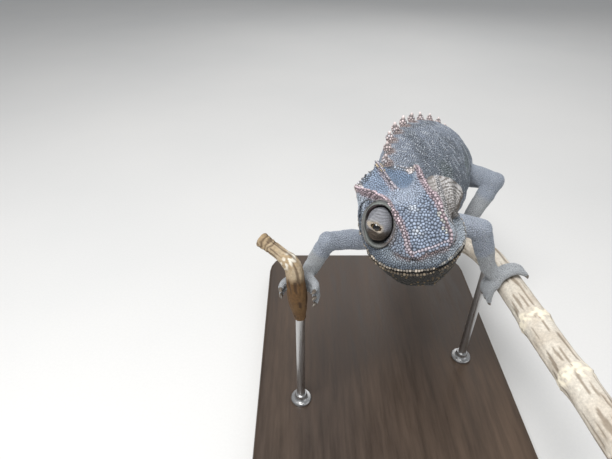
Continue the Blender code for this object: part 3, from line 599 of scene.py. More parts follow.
EYE_RADII = {"left": (4.4, 4.4, 4.8), "right": (4.4, 3.3, 4.8)}
SOCKET_AXIS = Vector((0.32, 0.93, 0.18)).normalized()
GAZE = {"left": (0.70, 0.60, -0.45), "right": (0.80, -0.40, 0.44)}
NOSTRIL, NOSTRIL_RADII = (12.1, 4.6, -0.6), (0.85, 0.6, 0.42)
GAP = 0.35  # between a foot and the bark it holds


def lip_y(x):
    """Half width of the mouth: round in plan at the front, narrowing behind."""
    t = np.clip((SNOUT_TIP - x) / MOUTH_LENGTH, 0, 1)
    return MOUTH_HALF_WIDTH(x) * np.sqrt(np.maximum(0.0, 1 - (1 - t) ** 2))


def head_matrix():
    """The head frame's place in the model, in millimetres."""
    yaw, pitch, roll = (math.radians(a) for a in (HEAD_YAW, HEAD_PITCH, HEAD_ROLL))
    level = math.cos(pitch)
    forward = Vector((math.sin(yaw) * level, -math.cos(yaw) * level, math.sin(pitch)))
    left = Vector((0, 0, 1)).cross(forward).normalized()
    left = (Matrix.Rotation(roll, 3, forward) @ left).normalized()
    turn = Matrix((forward, left, forward.cross(left))).transposed()
    return Matrix.Translation(Vector(HEAD_CENTRE)) @ turn.to_4x4()


HEAD = head_matrix()


def head_point(x, y, z):
    """A point of the head frame in the row frame, both in millimetres."""
    return HEAD @ Vector((x, y, z))


def in_head_frame(points):
    """Model points in the head frame, in millimetres."""
    back = np.array(HEAD.inverted())
    return points @ back[:3, :3].T + back[:3, 3]


def mesh_object(name, bm):
    """An object from a closed bmesh, faced outwards."""
    bmesh.ops.recalc_face_normals(bm, faces=bm.faces)
    if bm.calc_volume(signed=True) < 0:
        bmesh.ops.reverse_faces(bm, faces=bm.faces)
    data = bpy.data.meshes.new(name)
    bm.to_mesh(data)
    bm.free()
    return bpy.data.objects.new(name, data)


def loft(name, rings):
    """A closed skin through rings of equal count, capped at both ends."""
    bm = bmesh.new()
    loops = [[bm.verts.new(p) for p in ring] for ring in rings]
    count = len(loops[0])
    for near, far in zip(loops, loops[1:]):
        for i in range(count):
            j = (i + 1) % count
            bm.faces.new((near[i], near[j], far[j], far[i]))
    bm.faces.new(loops[0])
    bm.faces.new(loops[-1])
    return mesh_object(name, bm)


def tube(name, points, radii, count=14, sides=16):
    """A round tapering tube along a smooth line, closed at its ends; all in millimetres."""
    path = smooth_path([(*p, r) for p, r in zip(points, radii)], count)
    _, across, up = swept_frames(path[:, :3])
    turns = np.linspace(0, 2 * math.pi, sides, endpoint=False)
    return loft(name, [
        [Vector(row[:3] + row[3] * (a * math.cos(t) + u * math.sin(t))) * MM for t in turns]
        for row, a, u in zip(path, across, up)
    ])


def ball(name, centre, radii, turn=None, detail=3):
    """An ellipsoid from an icosphere; centre and radii in millimetres."""
    bm = bmesh.new()
    bmesh.ops.create_icosphere(bm, subdivisions=detail, radius=1.0)
    place = Matrix.Translation(Vector(centre) * MM)
    if turn is not None:
        place = place @ turn.to_4x4()
    bm.transform(place @ Matrix.Diagonal((*(Vector(radii) * MM), 1)))
    return mesh_object(name, bm)


def head_ring(x, sides=80):
    """The head's outline at one place along it."""
    keys = [
        (0.0, CROWN_Z(x)), (0.5 * BROW_Y(x), DISH_Z(x)), (BROW_Y(x), BROW_Z(x)),
        (CHEEK_Y(x), CHEEK_Z(x)), (lip_y(x), LIP_Z(x)), (JAW_SHARE(x) * lip_y(x), JAW_Z(x)),
        (0.0, THROAT_Z(x)),
    ]
    half = smooth_path([(y, z, 0) for y, z in keys], sides // 2 + 1)[:, :2]
    full = np.vstack([half, half[-2:0:-1] * (-1, 1)])
    return [head_point(x, y, z) * MM for y, z in full]


def head_mass():
    """The head lofted through rings that crowd towards both its ends."""
    back, front = HEAD_BACK + 0.1, SNOUT_TIP - 0.12
    turns = np.linspace(0, math.pi, 60)
    xs = back + (front - HEAD_BACK - 0.1) * (1 - np.cos(turns)) / 2
    return loft("head_mass", [head_ring(x) for x in xs])


def mirrored(side, point):
    """A left-side point of the head frame, for the side asked for."""
    return Vector((point[0], point[1] if side == "left" else -point[1], point[2]))


RIM_RADIUS, RIM_LIFT = 5.5, 0.3
RIM_THICKNESS = {"left": 0.85, "right": 0.85 * 0.4}


def socket_rim(side):
    """The ring of skin round an eye, thinner where the right turret's folds stand over it."""
    axis = mirrored(side, SOCKET_AXIS)
    centre = mirrored(side, EYE_CENTRE) + axis * RIM_LIFT
    across = axis.orthogonal().normalized()
    along = axis.cross(across)
    points = []
    for k in range(25):
        turn = 2 * math.pi * k / 24
        at = centre + (across * math.cos(turn) + along * math.sin(turn)) * RIM_RADIUS
        points.append(head_point(*at))
    return tube("rim", points, [RIM_THICKNESS[side]] * len(points), count=60)


def brow_ridges(side):
    """The beaded ridge from the casque's corner over the eye to the end of the snout."""
    sign = 1 if side == "left" else -1
    xs = (-11.5, -8, -4, 0, 3, 6, 9, 12.4)
    points = [head_point(x, sign * BROW_Y(x), BROW_Z(x) + 0.1) for x in xs]
    return tube("brow", points, (0.9, 0.8, 0.8, 0.85, 0.85, 0.75, 0.65, 0.5), count=40)


def casque_ridge():
    """The low keel down the middle of the casque."""
    xs = (-17.2, -14.5, -11.5, -8.5, -5)
    points = [head_point(x, 0, CROWN_Z(x) + 0.05) for x in xs]
    return tube("casque_ridge", points, (0.95, 0.8, 0.65, 0.5, 0.35), count=30)


# Stations from the back of the head to the tail root, mm: spine point, height, half width
# and the lean of the spine to the animal's right in degrees.
TRUNK = (
    ((-10.0, -23.0, 96.4), 18.0, 7.4, 10),
    ((-8.4, -15.0, 97.0), 21.0, 7.8, 17),
    ((-6.8, -7.0, 97.8), 25.5, 8.6, 24),
    ((-3.6, 7.0, 98.2), 32.0, 10.4, 30),
    ((2.4, 18.5, 97.6), 35.5, 11.8, 32),
    ((10.6, 29.5, 94.8), 36.0, 12.3, 31),
    ((19.6, 38.5, 89.6), 32.5, 11.8, 27),
    ((28.0, 47.5, 81.0), 24.0, 9.4, 18),
    ((32.5, 56.0, 73.5), 14.0, 6.4, 8),
    ((34.6, 63.0, 67.5), 9.6, 4.8, 0),
)
TAIL_CURL_CENTRE = (35.0, 94.0, 38.0)
TAIL_ROOT = [(32.6, 57.0, 66.0), (35.0, 65.0, 60.5), (36.0, 75.0, 54.0), (35.8, 85.0, 50.0)]


def trunk_stations(count=80):
    """The trunk's stations, evenly spaced: spine point, height, half width, lean."""
    return smooth_path([(*spine, height, half, lean) for spine, height, half, lean in TRUNK], count)


def trunk_axes(row, ahead):
    """The upward and sideways directions of a leaning station of the trunk."""
    lean = math.radians(row[5])
    back = Vector(ahead).normalized()
    right = Vector((-back.y, back.x, 0)).normalized()
    up = right.cross(-back).normalized()
    if up.z < 0:
        up = -up
    leaned = (math.cos(lean) * up + math.sin(lean) * right).normalized()
    return leaned, leaned.cross(back).normalized()


def trunk_ring(row, ahead, sides=72):
    """The trunk's outline at a station, sharp at the spine and full at the belly."""
    height, half = row[3], row[4]
    leaned, side = trunk_axes(row, ahead)
    centre = Vector(row[:3]) - leaned * height / 2
    ring = []
    for k in range(sides):
        turn = 2 * math.pi * k / sides
        rise, spread = math.cos(turn), math.sin(turn)
        power = 1.35 if rise > 0 else 0.85
        y = half * math.copysign(abs(spread) ** power, spread) * (1 - 0.12 * rise)
        ring.append((centre + side * y + leaned * (rise * height / 2)) * MM)
    return ring


def trunk_mass():
    """The trunk lofted through its stations."""
    rows = trunk_stations()
    ways = np.gradient(rows[:, :3], axis=0)
    return loft("trunk_mass", [trunk_ring(row, ahead) for row, ahead in zip(rows, ways)])


def tail_path(count=44):
    """Back and down from the trunk, then a closing curl in an upright plane."""
    cx, cy, cz = TAIL_CURL_CENTRE
    curl = []
    for k in range(17):
        turn = math.radians(92 - 25 * k)
        reach = 11.0 - 0.44 * k
        curl.append((cx - 0.12 * k, cy + reach * math.cos(turn), cz + reach * math.sin(turn)))
    return smooth_path(TAIL_ROOT + curl, count)


def tail_radii(count=44):
    """The tail's radius from its root to its tip."""
    thin = profile((0, 5.2), (0.12, 4.3), (0.4, 2.9), (0.8, 1.5), (1.0, 0.75))
    return [thin(t) for t in np.linspace(0, 1, count)]


# Joints in mm: root inside the trunk, shoulder or hip, elbow or knee, wrist or ankle.
LIMBS = {
    "left_fore": {
        "joints": [(-1.0, -5.0, 81), (3.4, -7.6, 79.5), (19.8, -19.6, 82.2), (25.4, -18.3, 67.6)],
        "radii": [4.0, 4.0, 3.3, 2.6],
    },
    "right_fore": {
        "joints": [
            (-6.0, -6.0, 76), (-10.0, -10.0, 72), (-23.6, -18.4, 77.2), (-30.0, -15.6, 61.2),
        ],
        "radii": [4.0, 3.6, 3.0, 2.4],
    },
    "left_hind": {
        "joints": [(25.0, 41.0, 69), (31.0, 36.0, 69.6), (39.2, 22.0, 74.0), (31.4, 18.4, 58.6)],
        "radii": [6.0, 5.4, 3.5, 2.7],
    },
    "right_hind": {
        "joints": [(24.0, 45.0, 69), (17.0, 38.0, 67.5), (1.5, 29.5, 60.0), (21.2, 33.4, 55.4)],
        "radii": [5.0, 4.4, 3.4, 2.6],
    },
}
# Each foot: the branch and grip point, the palm's direction from the branch, the branch
# radius, and for the inner and outer toe bundles: toes, wrap in degrees, how far the tips
# stand off the bark in mm, and the way they travel from the palm.
FEET = {
    "left_fore": {
        "path": MAIN_PERCH_PATH, "grip": (34.4, -17.4, 59.4), "palm": (-0.78, 0.0, 0.62),
        "perch": MAIN_PERCH_RADIUS, "inner": (3, 66, 2.2, (-1, 0, -1)),
        "outer": (2, 84, 0.2, (1, 0, 1)),
    },
    "right_fore": {
        "path": SIDE_PERCH_PATH, "grip": (-32.8, -23.4, 61.4), "palm": (0.42, 0.90, 0.0),
        "perch": SIDE_PERCH_RADIUS, "inner": (3, 84, 1.2, (1, -1, 0)),
        "outer": (2, 104, 0.4, (-1, 1, 0)),
    },
    "left_hind": {
        "path": MAIN_PERCH_PATH, "grip": (29.6, 17.0, 51.4), "palm": (0.30, 0.0, 0.95),
        "perch": MAIN_PERCH_RADIUS, "inner": (2, 118, 0.0, (-1, 0, 0)),
        "outer": (3, 112, 0.0, (1, 0, 0)),
    },
    "right_hind": {
        "path": MAIN_PERCH_PATH, "grip": (27.0, 33.0, 46.0), "palm": (-0.50, 0.0, 0.87),
        "perch": MAIN_PERCH_RADIUS, "inner": (2, 118, 0.0, (1, 0, 0)),
        "outer": (3, 112, 0.0, (-1, 0, 0)),
    },
}
TOE_RADII = (1.75, 1.5, 1.05)


def grip_frame(foot):
    """Grip point on the branch's line, the branch's direction and the palm's direction."""
    path = smooth_path(foot["path"], 80)
    i = int(np.argmin(np.linalg.norm(path - np.array(foot["grip"]), axis=1)))
    i = min(max(i, 1), len(path) - 2)
    along = Vector(path[i + 1] - path[i - 1]).normalized()
    palm = Vector(foot["palm"])
    palm = (palm - along * palm.dot(along)).normalized()
    return Vector(path[i]), along, palm


def toe_path(foot, bundle, slot):
    """Centre line of one toe, from the palm round the branch to its tip."""
    centre, along, palm = grip_frame(foot)
    count, wrap, loose, travel = foot[bundle]
    across = along.cross(palm).normalized()
    if across.dot(Vector(travel)) < 0:
        across = -across
    base, mid, tip = TOE_RADII
    points, radii = [], []
    for t in np.linspace(0, 1, 9):
        radius = (base + (mid - base) * t * 2) if t < 0.5 else (mid + (tip - mid) * (2 * t - 1))
        lift = foot["perch"] + GAP + 0.1 + radius + 0.45 * math.sin(math.pi * t) + loose * t * t
        spread = (slot - (count - 1) / 2) * (1.5 + 0.9 * t)
        turn = 0.1 + (math.radians(wrap) - 0.1) * t
        direction = palm * math.cos(turn) + across * math.sin(turn)
        points.append(centre + direction * lift + along * spread)
        radii.append(radius)
    return points, radii


def palm_point(foot):
    """The middle of a foot's palm, clear of the branch it holds."""
    centre, _, palm = grip_frame(foot)
    return centre + palm * (foot["perch"] + GAP + 2.3)


def every_toe(name):
    """The line and radii of each toe of a foot."""
    for bundle in ("inner", "outer"):
        for slot in range(FEET[name][bundle][0]):
            yield toe_path(FEET[name], bundle, slot)


def foot_pieces(name):
    """A palm, its toes in two bundles round the branch, and the ankle."""
    foot = FEET[name]
    _, along, palm = grip_frame(foot)
    turn = Matrix((along, along.cross(palm), palm)).transposed()
    pieces = [ball("palm", palm_point(foot), (3.1, 3.1, 2.1), turn)]
    for points, radii in every_toe(name):
        pieces.append(tube("toe", points, radii, count=16))
        pieces.append(ball("toe_end", points[-1], (radii[-1] * 1.02,) * 3))
    wrist = Vector(LIMBS[name]["joints"][-1])
    pieces.append(tube("ankle", [wrist, palm_point(foot)], (2.5, 2.5), count=5))
    return pieces


def limb_pieces(name):
    """A leg's upper and lower lengths with its knee and wrist."""
    root, shoulder, elbow, wrist = (Vector(j) for j in LIMBS[name]["joints"])
    r0, r1, r2, r3 = LIMBS[name]["radii"]
    upper = [root, shoulder, shoulder.lerp(elbow, 0.5), elbow]
    lower = [elbow, elbow.lerp(wrist, 0.45), wrist]
    return [
        tube(name, upper, (r0, r1, (r1 + r2) / 2, r2), count=22),
        tube(name, lower, (r2, r2 * 0.98, r3), count=16),
        ball(name, elbow, (r2 * 1.04,) * 3),
        ball(name, wrist, (r3 * 1.02,) * 3),
    ]


CREST_KNOBS = 13


def crest_line():
    """Knob centres along the spine with their sizes, largest at the shoulders."""
    rows = trunk_stations(200)
    run = np.r_[0, np.cumsum(np.linalg.norm(np.diff(rows[:, :3], axis=0), axis=1))]
    size = profile((0, 1.6), (0.35, 1.75), (0.7, 1.3), (1, 0.8))
    first, last = 15.0, run[-1] - 8.0
    for k in range(CREST_KNOBS):
        share = k / (CREST_KNOBS - 1)
        s = first + (last - first) * share
        yield Vector([float(np.interp(s, run, rows[:, c])) for c in range(3)]), float(size(share))


def crest_pieces():
    """The rounded knobs along the back."""
    return [
        ball(
            "knob", at + Vector((-0.15, 0, 0.4)) * size, (0.92 * size, 0.92 * size, 1.1 * size),
            detail=2,
        )
        for at, size in crest_line()
    ]


def fused(name, pieces, voxel, smoothing):
    """All pieces as one closed mass, through a voxel remesh and a light smoothing."""
    bm = bmesh.new()
    for piece in pieces:
        bm.from_mesh(piece.data)
        bpy.data.objects.remove(piece, do_unlink=True)
    mass = mesh_object(name, bm)
    bpy.context.collection.objects.link(mass)
    remesh = mass.modifiers.new("fuse", "REMESH")
    remesh.mode, remesh.voxel_size, remesh.adaptivity = "VOXEL", voxel, 0.0
    ease = mass.modifiers.new("ease", "SMOOTH")
    ease.factor, ease.iterations = 0.5, smoothing
    graph = bpy.context.evaluated_depsgraph_get()
    data = bpy.data.meshes.new_from_object(mass.evaluated_get(graph), depsgraph=graph)
    bpy.data.objects.remove(mass, do_unlink=True)
    made = bpy.data.objects.new(name, data)
    bpy.context.collection.objects.link(made)
    return made


def flesh_mass():
    """The whole animal but for its eyes and claws, as one mass."""
    pieces = [head_mass(), trunk_mass(), tube("tail", tail_path(), tail_radii(), count=110)]
    pieces += crest_pieces()
    pieces.append(casque_ridge())
    for side in ("left", "right"):
        pieces += [socket_rim(side), brow_ridges(side)]
    for name in LIMBS:
        pieces += limb_pieces(name) + foot_pieces(name)
    return fused("hide", pieces, 0.40 * MM, 4)


def finer_head(obj):
    """Splits the faces of the head once, so that its folds can be cut sharply."""
    bm = bmesh.new()
    bm.from_mesh(obj.data)
    points = in_head_frame(np.array([v.co for v in bm.verts]) / MM)
    inside = (points[:, 0] > -15.5) & (np.abs(points[:, 1]) < 14) & (points[:, 2] > -12.6)
    edges = [e for e in bm.edges if inside[e.verts[0].index] and inside[e.verts[1].index]]
    bmesh.ops.subdivide_edges(bm, edges=edges, cuts=1, use_grid_fill=True, smooth=0.6)
    bmesh.ops.triangulate(bm, faces=[f for f in bm.faces if len(f.verts) != 4])
    bm.to_mesh(obj.data)
    bm.free()


def points_of(obj):
    """A mesh's points in millimetres and the ways they face."""
    points = np.empty(len(obj.data.vertices) * 3, np.float32)
    obj.data.vertices.foreach_get("co", points)
    normals = np.empty_like(points)
    obj.data.vertex_normals.foreach_get("vector", normals)
    return points.reshape(-1, 3).astype(float) / MM, normals.reshape(-1, 3).astype(float)


def mouth_height(head):
    """Height above the mouth line, which falls gently from its corner to the snout."""
    return head[:, 2] + MOUTH_DROP + (head[:, 0] + MOUTH_CORNER) * MOUTH_SLOPE


def coat_depth(points):
    """How far the skin lies inside the scales' tops, least on the toes."""
    body, toes = 0.22, 0.13
    depth = np.full(len(points), body)
    for name in LIMBS:
        near = np.linalg.norm(points - np.array(palm_point(FEET[name])), axis=1)
        depth = np.minimum(depth, toes + (body - toes) * smooth_step(near, 5, 9))
    return depth


def hump(value, middle, width):
    """A smooth rise to 1 at the middle that fades over the width."""
    return np.exp(-(((value - middle) / width) ** 2))


def sunk_details(points, head):
    """How far each point of the skin sinks, mm, for the mouth, nostrils and folds."""
    x, y, z = head.T
    on_head = smooth_step(x, -17, -14) * (np.abs(y) < 14) * (z > -13)
    over = mouth_height(head)
    lipped = smooth_step(x, -9.6, -7.6) * on_head
    sink = 0.60 * hump(over, 0, 0.33) * lipped  # the closed mouth
    sink -= 0.38 * hump(over, 1.5, 1.0) * lipped  # the upper lip's roll
    sink += 0.28 * hump(over, 3.3, 0.45) * lipped  # the crease over it
    sink -= 0.14 * hump(over, -1.0, 0.6) * lipped  # the lower lip
    for side in ("left", "right"):
        off = (head - np.array(mirrored(side, NOSTRIL))) / NOSTRIL_RADII
        nostril = np.linalg.norm(off, axis=1)
        sink += 0.75 * hump(nostril, 0, 1) - 0.16 * hump(nostril, 1.9, 0.6)
        axis = np.array(mirrored(side, SOCKET_AXIS))
        off = head - np.array(mirrored(side, EYE_CENTRE))
        along = off @ axis
        out = np.linalg.norm(off - along[:, None] * axis, axis=1)
        fold = np.cos(2 * math.pi * (out - 5.5) / 1.25) * hump(out, 6.3, 1.5)
        sink -= 0.20 * fold * (along > -4.5) * on_head
        if side == "right":
            hollow = smooth_step(out, 7.2, 5.6) * smooth_step(x, 1.5, 4.0) * (along > -5) * (y < 0)
            sink += 0.55 * hollow * on_head
    pleat = np.sin(2 * math.pi * (z + 0.25 * x) / 2.0) * smooth_step(z, -6.5, -9) * on_head
    sink -= 0.14 * pleat  # the throat's pleats
    creased = np.maximum(1.2 + mottle(points * (1, 1, 1.6), 2.2, 31), 0)
    return sink + 0.09 * (1 - on_head) * creased


def eye_axes(side):
    """The eye's centre, the way it looks, and the level and upright directions across that."""
    ahead = (HEAD.to_3x3() @ Vector(GAZE[side])).normalized()
    level = Vector((0, 0, 1)).cross(ahead).normalized()
    centre = head_point(*mirrored(side, EYE_CENTRE))
    return (np.array(v) for v in (centre, ahead, level, ahead.cross(level)))


def under_turret(points):
    """The skin's points, pressed back where they would lie in the right turret's first fold."""
    centre, ahead, level, upright = eye_axes("right")
    off = points - centre
    out = np.hypot((off @ level - 0.95) / 3.0, (off @ upright + 0.05) / 4.2)
    above = off @ ahead - EYE_RADII["right"][0] + 4.6
    press = np.maximum(above, 0) * smooth_step(out, 1.16, 1.02)
    return points - ahead * press[:, None]


skin = flesh_mass()
finer_head(skin)
skin_points, skin_normals = points_of(skin)
skin_head = in_head_frame(skin_points)
depth = coat_depth(skin_points) + sunk_details(skin_points, skin_head)
skin_points = under_turret(skin_points - skin_normals * depth[:, None])
skin.data.vertices.foreach_set("co", (skin_points * MM).astype(np.float32).ravel())
skin.data.polygons.foreach_set("use_smooth", np.ones(len(skin.data.polygons), bool))
skin.data.update()
skin_points, _ = points_of(skin)  # as the mesh holds them
FLESH = [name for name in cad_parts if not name.startswith(("eye", "perch", "stand"))]
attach(skin, "root")
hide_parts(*FLESH)

# ---------------------------------------------------------------- markings
# The resting colours of the animal in its cool slate phase, painted alike on skin and
# scales: pale blue crown, rosy beaded ridges, lips dark on the right and pale on the left,
# gold-flecked jaw, slate flanks in wavy pale rows, and brown-tipped crest knobs. Light and shade
# are painted on the head too: its left cheek, lip and lid lighter and its right ones darker, the
# left casque facet shaded, a highlight on the lip roll, shade in the crease over it and shadow
# under the jaw.
LIMB_LINES = {name: np.array(limb["joints"][1:]) for name, limb in LIMBS.items()}
TRUNK_ROWS = trunk_stations(60)
TRUNK_AHEAD = np.gradient(TRUNK_ROWS[:, :3], axis=0)
TRUNK_LEANED, TRUNK_SIDE = (
    np.array([list(trunk_axes(row, ahead)[k]) for row, ahead in zip(TRUNK_ROWS, TRUNK_AHEAD)])
    for k in (0, 1)
)
TRUNK_MIDDLE = TRUNK_ROWS[:, :3] - TRUNK_LEANED * TRUNK_ROWS[:, 3:4] / 2
TRUNK_RUN = np.r_[0, np.cumsum(np.linalg.norm(np.diff(TRUNK_MIDDLE, axis=0), axis=1))]
CREST = [(np.array(at), size) for at, size in crest_line()]
FOOT_REACH = (13.5, 11.0)  # distances from the palm between which a foot's own tone sets in


def tree_of(points):
    """A search tree that finds the points nearest to a place."""
    tree = KDTree(len(points))
    for i, at in enumerate(points):
        tree.insert(at, i)
    tree.balance()
    return tree


def segment_distance(points, a, b):
    """How far each point is from the straight line between two places."""
    run = b - a
    t = np.clip((points - a) @ run / (run @ run), 0, 1)
    return np.linalg.norm(points - a - t[:, None] * run, axis=1)


def body_map(points):
    """Where each point lies: in the head frame, along and up the trunk, on limb, foot or tail."""
    head = in_head_frame(points)
    middle = tree_of(TRUNK_MIDDLE)
    station = np.array([middle.find(p)[1] for p in points], int)
    off = points - TRUNK_MIDDLE[station]
    rise = np.einsum("ij,ij->i", off, TRUNK_LEANED[station]) / (TRUNK_ROWS[station, 3] / 2)
    across = np.einsum("ij,ij->i", off, TRUNK_SIDE[station])
    ahead = TRUNK_AHEAD / np.linalg.norm(TRUNK_AHEAD, axis=1)[:, None]
    along = TRUNK_RUN[station] + np.einsum("ij,ij->i", off, ahead[station])
    limb = np.zeros(len(points))
    foot = np.zeros(len(points))
    for name, (shoulder, elbow, wrist) in LIMB_LINES.items():
        thick = max(LIMBS[name]["radii"][1:])
        near = np.minimum(
            segment_distance(points, shoulder, elbow), segment_distance(points, elbow, wrist)
        )
        limb = np.maximum(limb, smooth_step(near, thick + 1.6, thick + 0.3))
        from_palm = np.linalg.norm(points - np.array(palm_point(FEET[name])), axis=1)
        foot = np.maximum(foot, smooth_step(from_palm, *FOOT_REACH))
    tail = smooth_step(points[:, 1], 58, 63) * smooth_step(points[:, 2], 76, 70)
    on_head = (
        smooth_step(head[:, 0], -17.4, -15.2) * (np.abs(head[:, 1]) < 13.5)
        * (head[:, 2] > -12.8)
    )
    return {
        "head": head, "along": along, "station": station, "rise": rise, "across": across,
        "limb": np.maximum(limb, foot) * (1 - on_head), "foot": foot * (1 - on_head),
        "tail": tail, "on_head": on_head,
    }


def tinted(colour, tone, share):
    """Colours moved towards one tone, each by its share."""
    return colour + (np.array(tone) - colour) * np.clip(share, 0, 1)[:, None]


def streaks(points, where):
    """Broken pale rows that run down the flanks from spine to belly."""
    wave = np.sin(2 * math.pi * (where["along"] / 2.1 + 0.5 * mottle(points, 5.0, 51)))
    broken = mottle(points * (1.0, 1.6, 0.7), 1.5, 52)
    return smooth_step(wave, 0.15, 0.85) * smooth_step(broken, -0.35, 0.45)


def crest_share(points):
    """How near each point is to a crest knob."""
    near = np.full(len(points), 9.0)
    for at, size in CREST:
        near = np.minimum(near, np.linalg.norm(points - at - (-0.1, 0, 0.5), axis=1) / size)
    return smooth_step(near, 2.0, 1.1)


def crest_tips(points):
    """How near each point is to the top of a crest knob."""
    tip = np.full(len(points), 9.0)
    for at, size in CREST:
        off = (points - at) / size
        tip = np.minimum(tip, np.linalg.norm(off - (-0.25, 0.0, 1.25), axis=1))
    return smooth_step(tip, 1.6, 0.7)


def head_zones(head):
    """Shares of the head's parts at each point: crown, casque, ridges, lips, jaw and lids."""
    x, y, z = head.T
    side = np.abs(y)
    over = mouth_height(head)
    ridge = np.hypot(side - BROW_Y(x), z - BROW_Z(x) - 0.3) + 9 * (x < -12.4) + 9 * (x > 12.6)
    beside = (y < 0) * smooth_step(side - BROW_Y(x), 0.0, 0.4)
    beside = beside * smooth_step(x, -10.0, -7.5) * smooth_step(x, 7.0, 4.5)
    ridge = ridge * (1 - 0.48 * beside)  # the right ridge is wider on its outer side
    inside = smooth_step(side - BROW_Y(x), 0.2, -0.6) * smooth_step(z - BROW_Z(x), -3.2, -1.6)
    out = []
    for key in ("left", "right"):
        off = head - np.array(mirrored(key, EYE_CENTRE))
        axis = np.array(mirrored(key, SOCKET_AXIS))
        along = off @ axis
        radial = np.linalg.norm(off - along[:, None] * axis, axis=1)
        out.append(radial + 20 * (along < -5))
    round_eye = np.minimum(*out)
    corner = np.linalg.norm(
        np.stack([x + 12.0, side - BROW_Y(-12.0), z - BROW_Z(-12.0)], -1), axis=1
    )
    return {
        "over": over, "ridge": smooth_step(ridge, 1.3, 0.6), "inside": inside,
        "snout": inside * smooth_step(x, 0.5, 3.5),
        "casque": smooth_step(x, -4.5, -6.5) * (z > 1.5),
        "keel": smooth_step(np.hypot(y, z - CROWN_Z(x)), 1.5, 0.8) * smooth_step(x, -4.5, -6.0),
        "upper_lip": smooth_step(over, 4.0, 3.0) * (over > 0) * (x > -9.5),
        "jaw": smooth_step(over, 0.1, -0.1),
        "lid": smooth_step(round_eye, 7.8, 6.2) * smooth_step(x, -3.5, 0.0),
        "corner": smooth_step(corner, 2.8, 1.4),
    }


def markings(points, where):
    """The colour of the hide at each point, as linear red, green and blue."""
    rise, head, off_head = where["rise"], where["head"], 1 - where["on_head"]
    x, y, z = head.T
    colour = np.tile((0.155, 0.180, 0.215), (len(points), 1))
    colour = tinted(colour, (0.235, 0.265, 0.320), smooth_step(rise, 0.1, 0.9))
    colour = tinted(colour, (0.225, 0.250, 0.310), smooth_step(rise, -0.45, -0.9))
    band = mottle(points * (1, 1, 0.55), 5.5, 41)
    colour = tinted(colour, (0.100, 0.116, 0.138), 0.65 * smooth_step(band, 0.1, 0.9))
    moss = smooth_step(mottle(points, 7.0, 42), 0.1, 0.9) * smooth_step(np.abs(rise), 0.8, 0.3)
    colour = tinted(colour, (0.140, 0.170, 0.165), 0.6 * moss)
    colour = tinted(colour, (0.318, 0.352, 0.410), 0.9 * where["limb"])
    colour = tinted(colour, (0.400, 0.412, 0.418), 0.8 * where["foot"])
    colour = tinted(colour, (0.200, 0.220, 0.250), 0.8 * where["tail"])
    colour = tinted(colour, (0.290, 0.225, 0.210), 0.9 * crest_share(points) * off_head)
    colour = tinted(colour, (0.640, 0.540, 0.530), crest_tips(points) * off_head)

    zone = head_zones(head)
    face = np.tile((0.200, 0.232, 0.290), (len(points), 1))
    # Painted light: the animal's left cheek is painted lighter, as where the light falls on it.
    face = tinted(face, (0.400, 0.440, 0.490), smooth_step(y, 3.0, 7.0))
    # Painted light and shade: the casque facet on the animal's left is painted darker, as in shade,
    # and the one on its right lighter; both turn paler towards the sharp edge.
    facet_lit_and_shaded = np.where((y > 0)[:, None], (0.165, 0.225, 0.315), (0.245, 0.305, 0.400))
    facet_lit_and_shaded = tinted(facet_lit_and_shaded, (0.40, 0.45, 0.52), smooth_step(np.abs(y) - BROW_Y(x), -2.2, -0.7))
    face = face + (facet_lit_and_shaded - face) * zone["casque"][:, None]
    face = tinted(face, (0.350, 0.400, 0.485), zone["inside"] * smooth_step(x, -7.5, -4.5))
    face = tinted(face, (0.235, 0.280, 0.360), zone["snout"])
    face = tinted(face, (0.400, 0.360, 0.400), 0.9 * zone["keel"])
    # Painted light and shade: the lid skin is painted light on the animal's left and dark on its
    # right.
    lid_lit_left_shaded_right = np.where((y > 0)[:, None], (0.46, 0.44, 0.43), (0.235, 0.215, 0.22))
    face = face + (lid_lit_left_shaded_right - face) * (0.8 * zone["lid"] * (1 - zone["inside"]))[:, None]
    lip = zone["upper_lip"] * smooth_step(x, -9, -6)
    # Painted light and shade: the upper lip is painted pale on the animal's left and dark on its
    # right.
    lip_lit_left_shaded_right = np.where((y > 3)[:, None], (0.330, 0.365, 0.405), (0.092, 0.112, 0.140))
    face = face + (lip_lit_left_shaded_right - face) * lip[:, None]
    # Painted highlight: the upper half of the lip roll is painted lighter, where it faces the
    # light.
    face = tinted(face, (0.260, 0.300, 0.340), lip * smooth_step(zone["over"], 1.4, 2.4) * 0.6)
    # Painted shade: the crease over the lip is painted dark reddish-brown, its own tone deepened as
    # shade in the groove.
    crease = hump(zone["over"], 3.3, 0.5) * smooth_step(x, 7.5, 10.5)
    face = tinted(face, (0.200, 0.135, 0.125), 0.8 * crease)
    # Painted shadow: the lower jaw is painted darker, and its front nearly black, as shadow under
    # the head.
    face = tinted(face, (0.130, 0.140, 0.150), zone["jaw"])
    jaw_shadow = zone["jaw"] * smooth_step(x, -7.0, 1.0) * smooth_step(z, -12.5, -9.5)
    face = tinted(face, (0.020, 0.017, 0.013), jaw_shadow)
    face = tinted(face, (0.400, 0.315, 0.345), zone["ridge"])
    face = tinted(face, (0.620, 0.540, 0.500), 0.9 * zone["corner"])
    return colour + (face - colour) * where["on_head"][:, None]


